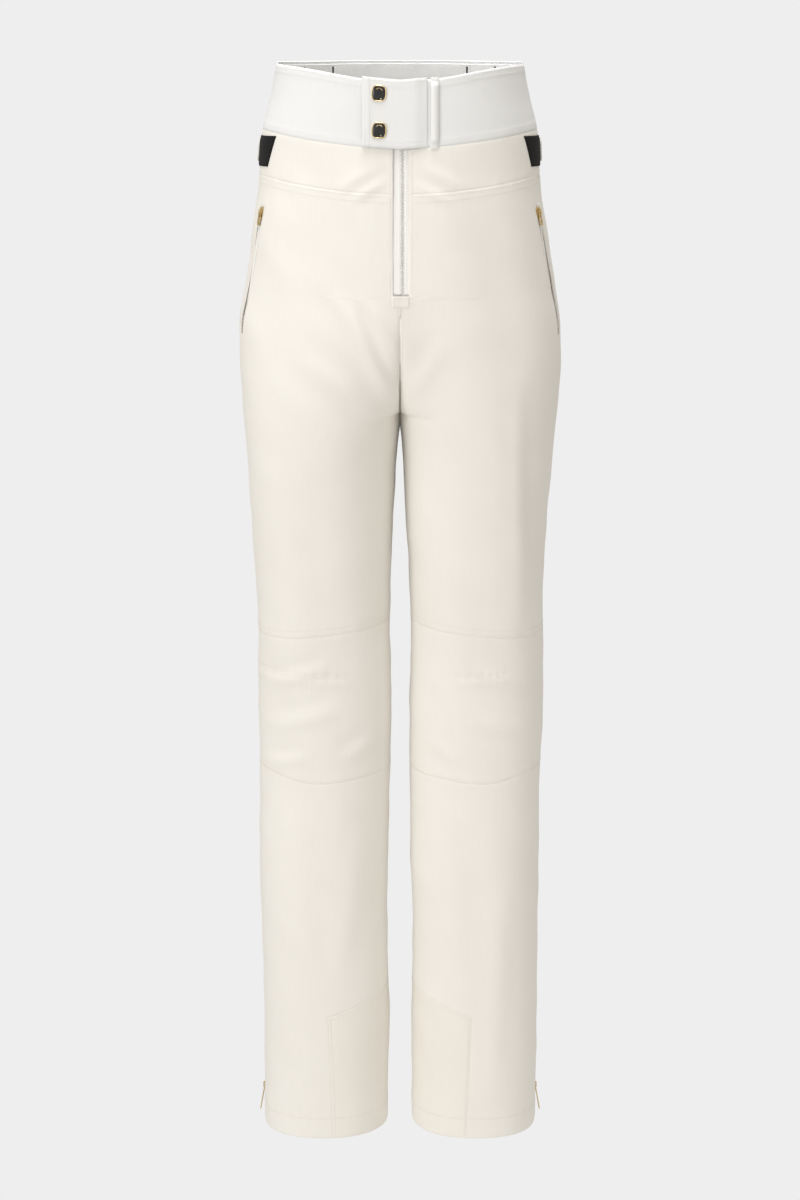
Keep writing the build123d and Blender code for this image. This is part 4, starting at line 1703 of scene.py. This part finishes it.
@dataclass
class WaistTab(Assembly):
    """The tab that closes the waist over the fly, and its two snaps."""

    free_x: float = -36.0
    sewn_x: float = 26.0
    above_rim: float = 2.0
    above_seam: float = 0.8
    out: float = 3.9
    sewn_out: float = 1.5
    band: float = 7.0
    snap_x: float = -20.0
    snap_z: tuple = (40.0, 5.0)
    cap_half: tuple = (7.25, 7.75)
    cap_power: float = 3.0
    fold_start: float = 0.0262
    fold_end: float = 0.014

    def build(self) -> None:
        """Builds the tab, its stitches and the caps."""
        free, turned = -self.free_x, -self.free_x - self.band
        columns = (at_x(free, past=True), at_x(turned, past=True), at_x(self.sewn_x))
        tab = Panel("waist_tab_cloth", Side.LEFT, columns, (self.lower, self.upper), step=1.6, wall=1.8,
                    out=self.out, extra=self.shape, sewing=Sewing(roll=0.5, allowance=0.2), round_over=0.45)
        obj = tab.build()
        start, end = (self.fold_start, -0.0983, 0.02), (self.fold_end, -0.0983, 0.02)
        self.bend(obj, "waistband_fabric", ("pants", "waist_tab"), start, end, ("waist_tab",))
        tab.declare(["waistband_front_right", "waistband_front_left"])
        self.build_stitches(start, end)
        self.build_caps()

    def upper(self, x: Array) -> Array:
        """Height of the tab's top edge, which follows the rim."""
        return seam(SEAMS.rim_front, self.above_rim)(x)

    def lower(self, x: Array) -> Array:
        """Height of the tab's lower edge, which follows the waist seam."""
        return seam(SEAMS.waist_front, self.above_seam)(x)

    def shape(self, tau: Array, z: Array, points: Array) -> Array:
        """The tab comes down to the band at its sewn edge, with a turned band along its free edge.

        Args:
            tau: Section places, which it does without.
            z: Heights, which it does without.
            points: The points.

        Returns:
            The height at each point.
        """
        x = points[:, 0]
        sewn = -(self.out - self.sewn_out) * ease(x, self.sewn_x - 12, self.sewn_x)
        line = self.free_x + self.band
        step = 0.45 * (1 - ease(x, line - 0.6, line + 0.6)) - 0.35 * np.exp(-(((x - line) / 0.8) ** 2))
        return sewn + step

    def surface(self, x: Array, z: Array, off: float) -> tuple[Array, Array]:
        """Points and normals on the tab's outer face.

        Args:
            x: Signed distances from the centre line.
            z: Heights.
            off: Distance out from the tab's face.

        Returns:
            The points and the outward normals.
        """
        s = BODY.s_at_x(np.abs(x), z)
        points, normals = cloth_point(np.where(x < 0, -s, s), z, Side.LEFT, self.out)
        return points + normals * (self.shape(s, z, points) + off)[:, None], normals

    def build_stitches(self, start: tuple, end: tuple) -> None:
        """Builds a double row round the tab and one beside the turned band.

        Args:
            start: Not used; only passed on to bend().
            end: Not used; only passed on to bend().
        """
        rows = []
        x = np.linspace(self.free_x + 2.4, self.sewn_x - 1, 60)
        for line, shift in ((self.upper, -2.4), (self.lower, 2.4), (self.lower, 7.0)):
            rows.append(self.surface(x, line(x) + shift, 0.2))
        for x in (self.free_x + 2.4, self.free_x + self.band + 1.6):
            z = np.linspace(self.lower(np.array(x)) + 2.4, self.upper(np.array(x)) - 2.4, 60)
            rows.append(self.surface(np.full(60, x), z, 0.2))
        obj = Thread(pitch=2.8).mesh("waist_tab_stitches", rows)
        self.bend(obj, "white_thread", ("pants", "waist_tab"), start, end)

    def build_caps(self) -> None:
        """Builds the snap caps: a rounded-square gold rim round a dished black face, with small gold studs on
        the face, most along its upper edge, that are painted highlights standing in for glints.
        """
        rim = np.array([(0.86, 1.15), (0.87, 1.55), (0.89, 1.8), (0.92, 1.9), (0.955, 1.8), (0.985, 1.45),
                        (1.0, 0.9), (0.99, 0.35), (0.96, 0.0), (0.5, -0.1)])
        face = np.array([(0.02, 1.62), (0.3, 1.58), (0.6, 1.46), (0.78, 1.32), (0.865, 1.2), (0.875, 1.0)])
        rims, faces, glint_beads = [], [], []
        for z in self.snap_z:
            points, normals = self.surface(np.array([self.snap_x]), np.array([z]), 0.12)
            rims.append((points[0], normals[0], rim))
            faces.append((points[0], normals[0], face))
        self.place(self.turned("snap_cap_rims", rims), "gold_metal", "waist_tab", ("snap_caps",))
        self.place(self.turned("snap_cap_faces", faces), "black_enamel", "waist_tab", ("snap_faces",))
        # Small gold studs, five along the face's upper edge and one low at the side: painted highlights that
        # stand in for the glints on the black face.
        glint_bead = np.array([(0.001, 0.55), (0.4, 0.5), (0.75, 0.32), (0.95, 0.1), (1.0, -0.1)])
        for centre, normal, _ in faces:
            for k in range(5):
                angle = math.radians(50 + 20 * k)
                u, v = 4.1 * math.cos(angle), 4.9 * math.sin(angle)
                glint_beads.append((centre, normal, glint_bead, (u, v), 0.075))
            glint_beads.append((centre, normal, glint_bead, (2.2, -5.2), 0.085))
        self.place(self.turned("snap_cap_glint_studs", glint_beads), "gold_metal", "waist_tab")

    def turned(self, name: str, parts: list[tuple]) -> bpy.types.Object:
        """Carries a profile round a rounded-square outline in the plane of each cap.

        The outline's radius is the superellipse's at each angle; the profile gives its share and its height.

        Args:
            name: The piece's name.
            parts: Centre, normal and profile of each, and for a small one its offset and scale.

        Returns:
            The object.
        """
        verts, faces, base = [], [], 0
        angle = np.linspace(0, 2 * math.pi, 48, endpoint=False)
        c, s = np.cos(angle), np.sin(angle)
        for part in parts:
            centre, normal, profile = part[:3]
            offset, scale = (part[3], part[4]) if len(part) > 3 else ((0.0, 0.0), 1.0)
            a, b = (self.cap_half[0] * scale, self.cap_half[1] * scale)
            power = self.cap_power
            radius = (np.abs(c / a) ** power + np.abs(s / b) ** power) ** (-1 / power)
            up = unit(np.array([0.0, -0.07, 1.0]) - normal * normal @ np.array([0.0, -0.07, 1.0]))
            across = np.cross(up, normal)
            ring = (radius * c)[None, :] * profile[:, 0:1] + offset[0]
            lift = (radius * s)[None, :] * profile[:, 0:1] + offset[1]
            high = profile[:, 1:2] + (1.25 if scale < 1 else 0.0) + 0 * ring
            points = (centre + ring[..., None] * across + lift[..., None] * up + high[..., None] * normal)
            rows, count = ring.shape
            i, j = np.meshgrid(np.arange(rows - 1), np.arange(count), indexing="ij")
            nxt = (j + 1) % count
            quads = np.stack((i * count + j, (i + 1) * count + j, (i + 1) * count + nxt, i * count + nxt), -1)
            verts.append(points.reshape(-1, 3))
            faces.extend((quads.reshape(-1, 4) + base).tolist())
            faces.append((np.arange(count) + base).tolist())
            faces.append((np.arange(count)[::-1] + base + (rows - 1) * count).tolist())
            base += rows * count
        mesh = bpy.data.meshes.new(name)
        mesh.from_pydata((np.concatenate(verts) * MM).tolist(), [], faces)
        mesh.polygons.foreach_set("use_smooth", np.ones(len(mesh.polygons), dtype=bool))
        obj = bpy.data.objects.new(name, mesh)
        bpy.context.collection.objects.link(obj)
        return obj


@dataclass
class SideAdjusters(Assembly):
    """The black hook-tape patches at the sides, and the cream straps that close on them."""

    top: float = -1.0
    bottom: float = -31.0
    front_top: float = 54.0
    front_bottom: float = 45.0
    back: float = 30.0
    patch_out: float = 1.2
    strap_free: float = 3.0
    strap_sewn: float = 62.0
    strap_z: tuple = (-27.0, -4.0)
    strap_out: float = 3.2

    def front_edge(self, z: Array) -> Array:
        """Section place of the patch's slanted front edge."""
        share = (self.top - z) / (self.top - self.bottom)
        return BODY.s_at_y(self.front_top + (self.front_bottom - self.front_top) * share, z)

    def build(self) -> None:
        """Builds both patches, both straps and the straps' stitches."""
        for side in Side:
            patch = Panel(f"hook_patch_{side.word}", side, (self.front_edge, at_y(self.back, back=True)),
                          (level(self.bottom), level(self.top)), out=self.patch_out, wall=1.1, step=1.6,
                          sewing=Sewing(roll=0.3, allowance=0, pucker=0), round_over=0.3)
            obj = self.place(patch.build(), "black_hook_tape", "pants", (f"adjuster_patch_{side.word}",))
            patch.declare([f"front_yoke_{side.word}", "back_yoke"])
            strap = Panel(f"adjuster_tab_{side.word}", side,
                          (self.rounded_end, at_y(self.strap_sewn, back=True)),
                          (level(self.strap_z[0]), level(self.strap_z[1])),
                          out=self.strap_out, wall=1.5, step=1.4, extra=self.sewn_down,
                          sewing=Sewing(roll=0.4, allowance=0.15), round_over=0.4)
            obj = strap.build()
            x = side.value * 0.1246
            bodies = ("pants", f"adjuster_{side.word}")
            start, end = (x, 0.0618, -0.015), (x, 0.050, -0.015)
            self.bend(obj, "shell_fabric", bodies, start, end, (f"adjuster_strap_{side.word}",))
            strap.declare([f"adjuster_patch_{side.word}"])
            rows = []
            for z in (self.strap_z[0] + 2.4, self.strap_z[1] - 2.4):
                at = np.array(z)
                tau = np.linspace(float(BODY.s_at_y(1.0, at)), float(BODY.s_at_y(60.0, at, True)), 60)
                rows.append(cloth_point(tau, np.full(60, z), side, self.strap_out + 0.2))
            stitches = Thread(pitch=2.8).mesh(f"adjuster_stitches_{side.word}", rows)
            self.bend(stitches, "thread", bodies, start, end)

    def rounded_end(self, z: Array) -> Array:
        """Section place of the strap's free end, drawn back in a quarter circle at its two corners.

        Args:
            z: Heights.

        Returns:
            The section place at each height.
        """
        middle, half = sum(self.strap_z) / 2, (self.strap_z[1] - self.strap_z[0]) / 2
        corner = np.clip((np.abs(z - middle) - (half - 6)) / 6, 0, 1)
        return BODY.s_at_y(self.strap_free - 6 * (1 - np.sqrt(1 - corner**2)) + 0.001, z)

    def sewn_down(self, tau: Array, z: Array, points: Array) -> Array:
        """The strap comes down to the cloth at its sewn end."""
        return -1.4 * ease(points[:, 1], self.strap_sewn - 14, self.strap_sewn)


@dataclass
class Zip:
    """A zip's chain and tapes on a straight line in its own frame.

    Attributes:
        origin: The slider's centre.
        up: Direction along the chain.
        out: Direction out of the garment.
        low: Lower end along the chain, from the origin.
        high: Upper end of the tapes.
        chain_high: Upper end of the teeth.
    """

    origin: tuple[float, float, float]
    up: tuple[float, float, float]
    out: tuple[float, float, float]
    low: float
    high: float
    chain_low: float
    chain_high: float
    pitch: float = 3.0
    tape_reach: float = 9.5
    tape_wall: float = 0.6
    lift: float = 0.9

    def axes(self, side: Side) -> tuple[Array, Array, Array, Array]:
        """Origin, across, along and outward vectors on one side.

        Args:
            side: The half of the garment.

        Returns:
            The four vectors.
        """
        along = unit(np.array(self.up, float))
        out = np.array(self.out, float)
        out = unit(out - along * (out @ along))
        flip = np.array([side.value, 1, 1])
        along, out = along * flip, out * flip
        return np.array(self.origin, float) * flip, np.cross(along, out), along, out

    def tapes(self, name: str, side: Side) -> bpy.types.Object:
        """Makes the two woven tapes: thin strips with a raised cord along their inner edges.

        Args:
            name: The piece's name.
            side: The half of the garment.

        Returns:
            The tapes as one object.
        """
        origin, across, along, out = self.axes(side)
        count = int((self.high - self.low) / 2)
        pieces = []
        for sign in (-1, 1):
            a = np.linspace(0.08, self.tape_reach, 22)
            A, L = np.meshgrid(a, np.linspace(self.low, self.high, count), indexing="ij")
            cord = 0.3 * np.exp(-(((A - 3.4) / 0.6) ** 2))
            lift = self.tape_wall / 2 + self.lift * ease(A, 0.5, 2.2) + cord
            points = origin + (sign * A)[..., None] * across + L[..., None] * along + lift[..., None] * out
            uv = np.stack((A, L), -1).reshape(-1, 2) * MM
            pieces.append(make_object(name, points.reshape(-1, 3), grid_faces(22, count, sign < 0), uv))
        obj = join_meshes(name, pieces)
        thicken(obj, self.tape_wall)
        return obj

    def teeth(self, name: str, side: Side) -> bpy.types.Object:
        """Makes the teeth: rounded blocks that alternate from side to side along the chain.

        Each is a superellipsoid on a grid of six by eight points.

        Args:
            name: The piece's name.
            side: The half of the garment.

        Returns:
            The teeth as one object.
        """
        origin, across, along, out = self.axes(side)
        total = int((self.chain_high - self.chain_low) / (self.pitch / 2))
        k = np.arange(total)
        centre = self.chain_low + (k + 0.5) * self.pitch / 2
        shift = np.where(k % 2 == 0, 1.0, -1.0) * 0.75
        lat, lon = np.meshgrid(np.linspace(-math.pi / 2, math.pi / 2, 6),
                               np.linspace(0, 2 * math.pi, 8, endpoint=False), indexing="ij")

        def boxed(value: Array, power: float = 0.55) -> Array:
            """A cosine or sine with its curve squared off."""
            return np.sign(value) * np.abs(value) ** power

        x = 1.25 * boxed(np.cos(lat)) * boxed(np.cos(lon))
        y = 0.62 * boxed(np.cos(lat)) * boxed(np.sin(lon))
        w = 1.2 * boxed(np.sin(lat)) + 0.5
        local = np.stack((x, y, w), -1).reshape(-1, 3)
        verts = (
            origin
            + (shift[:, None] + local[None, :, 0])[..., None] * across
            + (centre[:, None] + local[None, :, 1])[..., None] * along
            + local[None, :, 2, None] * out
        )
        i, j = np.meshgrid(np.arange(5), np.arange(8), indexing="ij")
        nxt = (j + 1) % 8
        quads = np.stack((i * 8 + j, i * 8 + nxt, (i + 1) * 8 + nxt, (i + 1) * 8 + j), -1).reshape(-1, 4)
        faces = (quads[None] + 48 * k[:, None, None]).reshape(-1, 4)
        if side is Side.RIGHT:
            faces = faces[:, ::-1]
        return make_object(name, verts.reshape(-1, 3), faces)


@dataclass
class Fly(Assembly):
    """The fly: its zip, the guard behind it and the sewn patch at its lower end."""

    chain: Zip = field(default_factory=lambda: Zip(
        (2.5, -92.14, 28.0), (0, 0.07, 1), (0, -1, 0.07), low=-181.0, high=18.0,
        chain_low=-181.0, chain_high=1.5))
    guard_reach: float = 19.0
    guard_x: float = 2.5
    guard_depth: float = 6.5

    def build(self) -> None:
        """Builds the fly's pieces."""
        self.place(self.chain.tapes("fly_zip_tapes", Side.LEFT), "zip_tape", "pants", ("fly_tapes",))
        self.place(self.chain.teeth("fly_zip_teeth", Side.LEFT), "zip_teeth", "pants", ("fly_teeth",))
        guard = Panel("fly_guard_cloth", Side.LEFT,
                      (at_x(self.guard_reach - self.guard_x, past=True),
                       at_x(self.guard_reach + self.guard_x)),
                      (level(-148.0), level(45.5)), out=-self.guard_depth, wall=1.1)
        obj = self.place(guard.build(), "waistband_fabric", "pants", ("fly_guard",))
        guard.declare(["waistband_lining"])
        columns, rows = (at_x(7.3, past=True), at_x(9.3)), (level(-165.0), level(-153.5))
        patch = Panel("fly_end_bar", Side.LEFT, columns, rows, out=0.9,
                      wall=0.8, step=0.9, sewing=Sewing(roll=0.3, allowance=0), round_over=0.25)
        obj = self.place(patch.build(), "shell_fabric", "pants", ("fly_end_patch",))
        patch.declare(["front_panel_left", "front_panel_right"])
        rows = []
        for x in (-5.8, 7.8):
            z = np.linspace(-164, -154.5, 20)
            s = BODY.s_at_x(abs(x), z)
            rows.append(cloth_point(np.sign(x) * s, z, Side.LEFT, 1.05))
        for z in (-163.6, -155.0):
            x = np.linspace(-5.8, 7.8, 20)
            s = BODY.s_at_x(np.abs(x), np.full(20, z))
            rows.append(cloth_point(np.sign(x) * s, np.full(20, z), Side.LEFT, 1.05))
        self.place(Thread(pitch=1.9, length=1.5).mesh("fly_bar_stitches", rows), "thread", "pants")


@dataclass
class Pockets(Assembly):
    """The slanted zip pockets beside the side seams, and their bags."""

    chain: Zip = field(default_factory=lambda: Zip(
        (135.7, -39.7, -76.3), (-19.8, -12.5, 124.0), (0.911, -0.411, 0), low=-124.0, high=9.0,
        chain_low=-124.0, chain_high=1.5))
    bag_depth: float = 9.4

    def build(self) -> None:
        """Builds both sides' zips and bags."""
        for side in Side:
            name = side.word
            self.place(self.chain.tapes(f"pocket_zip_tapes_{name}", side), "zip_tape", "pants",
                       (f"pocket_tapes_{name}",))
            self.place(self.chain.teeth(f"pocket_zip_teeth_{name}", side), "zip_teeth", "pants",
                       (f"pocket_teeth_{name}",))
            bag = Panel(f"pocket_pouch_{name}", side, (at_x(64.0), at_y(8.0)), (level(-228.0), level(-68.0)),
                        step=4.0, out=-self.bag_depth, wall=1.6, extra=self.puff)
            obj = self.place(bag.build(), "lining_fabric", "pants", (f"pocket_bag_{name}",))
            bag.declare([f"front_yoke_{name}"])

    def puff(self, tau: Array, z: Array, points: Array) -> Array:
        """The bag's slack: pressed in between its upper and lower seams."""
        return -1.2 * np.sin(math.pi * np.clip((z + 228) / 160, 0, 1))


@dataclass
class Hems(Assembly):
    """The hem zips in the side seams and the inner gaiters."""

    chain: Zip = field(default_factory=lambda: Zip(
        (142.6, 0.0, -1012.0), (0, 0, 1), (1, 0, 0), low=-33.0, high=174.0, chain_low=-1.5, chain_high=172.0))
    gaiter_rows: tuple = ((-1030.0, 16.0), (-1024.0, 15.6), (-970.0, 11.0), (-823.0, 7.0), (-815.0, 2.1))
    gathers: int = 34
    gaiter_tall: float = 0.216

    def build(self) -> None:
        """Builds both sides' hem zips and gaiters."""
        for side in Side:
            name = side.word
            body = f"lower_leg_{name}"
            tapes = self.chain.tapes(f"hem_zip_tapes_{name}", side)
            self.place(tapes, "zip_tape", body, (f"hem_tapes_{name}",))
            teeth = self.chain.teeth(f"hem_zip_teeth_{name}", side)
            self.place(teeth, "zip_teeth", body, (f"hem_teeth_{name}",))
            self.build_gaiter(side)

    def build_gaiter(self, side: Side) -> None:
        """Builds a gaiter: a sleeve drawn in towards the ankle, gathered by two elastic bands at its end.

        Args:
            side: The leg.
        """
        z = np.concatenate((np.linspace(-1030, -1000, 26), np.linspace(-996, -815, 46)))
        s = np.linspace(0, 1, 181)
        S, Z = np.meshgrid(s, z, indexing="ij")
        rows = np.array(self.gaiter_rows)
        inset = np.interp(Z, rows[:, 0], rows[:, 1])
        points = BODY.point(S, Z)
        normals = BODY.normal(S, Z)
        wave = np.sin(2 * math.pi * self.gathers * S + 1.3 * np.sin(9 * S))
        gather = 0.55 * wave * (1 - ease(Z, -1005, -900))
        bands = 0.5 * (np.exp(-(((Z + 1024) / 2.2) ** 2)) + np.exp(-(((Z + 1012) / 2.2) ** 2)))
        points = points + normals * (-inset + gather + bands)[..., None]
        points[-1] = points[0]
        flip = side is Side.RIGHT
        across, up = run_lengths(points, 0), run_lengths(points, 1)
        uv = np.stack((across, up), -1).reshape(-1, 2) * MM
        points = points * np.array([side.value, 1, 1])
        faces = grid_faces(181, len(z), flip)
        obj = make_object(f"snow_gaiter_{side.word}", points.reshape(-1, 3), faces, uv)
        weld = obj.modifiers.new("closed", "WELD")
        weld.merge_threshold = 1e-5
        thicken(obj, 1.1)
        self.place(obj, "lining_fabric", f"lower_leg_{side.word}", (f"gaiter_{side.word}",))
        f"shin_panel_{side.word}"
        f"calf_panel_{side.word}"


@dataclass
class Metalwork(Assembly):
    """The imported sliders, pulls, studs and sockets, which keep their own shapes."""

    prefixes: tuple = ("fly_slider", "fly_pull", "pocket_slider", "pocket_pull", "hem_slider", "hem_pull",
                       "snap_sockets", "snap_studs")

    def build(self) -> None:
        """Gives every metal node the gold finish."""
        for name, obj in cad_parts.items():
            if name.startswith(self.prefixes):
                obj.data.materials.clear()
                obj.data.materials.append(self.library.materials["gold_metal"])
                LOG.info("%s keeps its shape, in gold", name)


# ---------------------------------------------------------------- studio
@dataclass
class Studio:
    """The camera, the lights, the pale floor and the plain background."""

    camera_at: tuple = (0.0, -2.600, 0.0532)
    tilt_deg: float = 11.53
    lens: float = 76.51
    backdrop: float = 0.855
    ambient: tuple = (0.555, 0.532, 0.49)
    floor_z: float = -1.75

    def build(self) -> None:
        """Sets up the whole studio."""
        scene = bpy.context.scene
        scene.view_settings.view_transform = "Standard"
        data = bpy.data.cameras.new("studio_camera")
        data.lens = self.lens
        data.sensor_width = 36.0
        camera = bpy.data.objects.new("studio_camera", data)
        camera.location = self.camera_at
        camera.rotation_euler = (math.radians(90 - self.tilt_deg), 0, 0)
        scene.collection.objects.link(camera)
        scene.camera = camera
        self.build_world(scene)
        self.build_floor()
        self.lamp("key", (-2.1, -2.4, 0.1), 2.1, 40.0, (1.0, 0.995, 0.985))
        self.lamp("top", (-0.2, -0.9, 2.2), 1.2, 21.0, (1.0, 1.0, 1.0))
        self.lamp("fill", (1.3, -1.1, -1.4), 1.0, 3.2, (1.0, 0.96, 0.90))
        self.lamp("inside", (0.0, -0.05, 0.6), 0.3, 3.2, (1.0, 1.0, 1.0))

    def build_world(self, scene: bpy.types.Scene) -> None:
        """Builds a world that is pale behind the garment and lights it more softly.

        Args:
            scene: The scene that it is for.
        """
        world = bpy.data.worlds.new("studio_world")
        world.use_nodes = True
        make = Nodes(world.node_tree)
        background = world.node_tree.nodes["Background"]
        path = make.add("ShaderNodeLightPath")
        mix = make.add("ShaderNodeMixRGB")
        mix.inputs[1].default_value = (*self.ambient, 1)
        mix.inputs[2].default_value = (self.backdrop,) * 3 + (1,)
        make.link(path.outputs["Is Camera Ray"], mix.inputs[0])
        make.link(mix.outputs[0], background.inputs[0])
        scene.world = world

    def build_floor(self) -> None:
        """Builds a round pale floor below the garment, mostly as bright as the background."""
        turn_angle = np.linspace(0, 2 * math.pi, 96, endpoint=False)
        radius = np.linspace(0.0005, 1.3, 14)
        R, A = np.meshgrid(radius, turn_angle, indexing="ij")
        points = np.stack((R * np.cos(A), R * np.sin(A), np.full(R.shape, self.floor_z)), -1) / MM
        i, j = np.meshgrid(np.arange(13), np.arange(96), indexing="ij")
        nxt = (j + 1) % 96
        quads = np.stack((i * 96 + j, (i + 1) * 96 + j, (i + 1) * 96 + nxt, i * 96 + nxt), -1).reshape(-1, 4)
        floor = make_object("studio_floor", points.reshape(-1, 3), quads)
        material, make, shader = Library.blank("studio_floor")
        shader.inputs["Base Color"].default_value = (0.3, 0.3, 0.3, 1)
        shader.inputs["Roughness"].default_value = 0.9
        shader.inputs["Emission Color"].default_value = (1, 1, 1, 1)
        shader.inputs["Emission Strength"].default_value = 0.55
        floor.data.materials.append(material)

    def lamp(self, name: str, at: tuple, size: float, power: float, colour: tuple) -> None:
        """Adds a large soft lamp that faces the middle of the garment.

        Args:
            name: The lamp's name.
            at: Its place, in metres.
            size: Its diameter, in metres.
            power: Its power, in watts.
            colour: Its colour.
        """
        data = bpy.data.lights.new(name, "AREA")
        data.size, data.energy, data.color = size, power, colour
        data.shape = "DISK"
        lamp = bpy.data.objects.new(name, data)
        lamp.visible_camera = False
        lamp.location = at
        toward = np.array([0, 0, -0.5]) - np.array(at)
        lamp.rotation_euler = bpy_direction(toward)
        bpy.context.scene.collection.objects.link(lamp)


def bpy_direction(toward: Array) -> tuple[float, float, float]:
    """Euler angles that point a lamp's or camera's -Z along a direction."""
    x, y, z = (float(v) for v in unit(toward))
    return math.acos(-z), 0.0, math.atan2(-x, y)


def main() -> None:
    """Builds the garment piece by piece, then the studio round it."""
    logging.basicConfig(level=logging.INFO, format="%(name)s: %(message)s")
    library = Library()
    for assembly in (Legs, Waistband, WaistTab, SideAdjusters, Fly, Pockets, Hems, Metalwork):
        LOG.info("building %s", assembly.__name__)
        assembly(library).build()
    Studio().build()


if __name__ == "__main__":
    main()
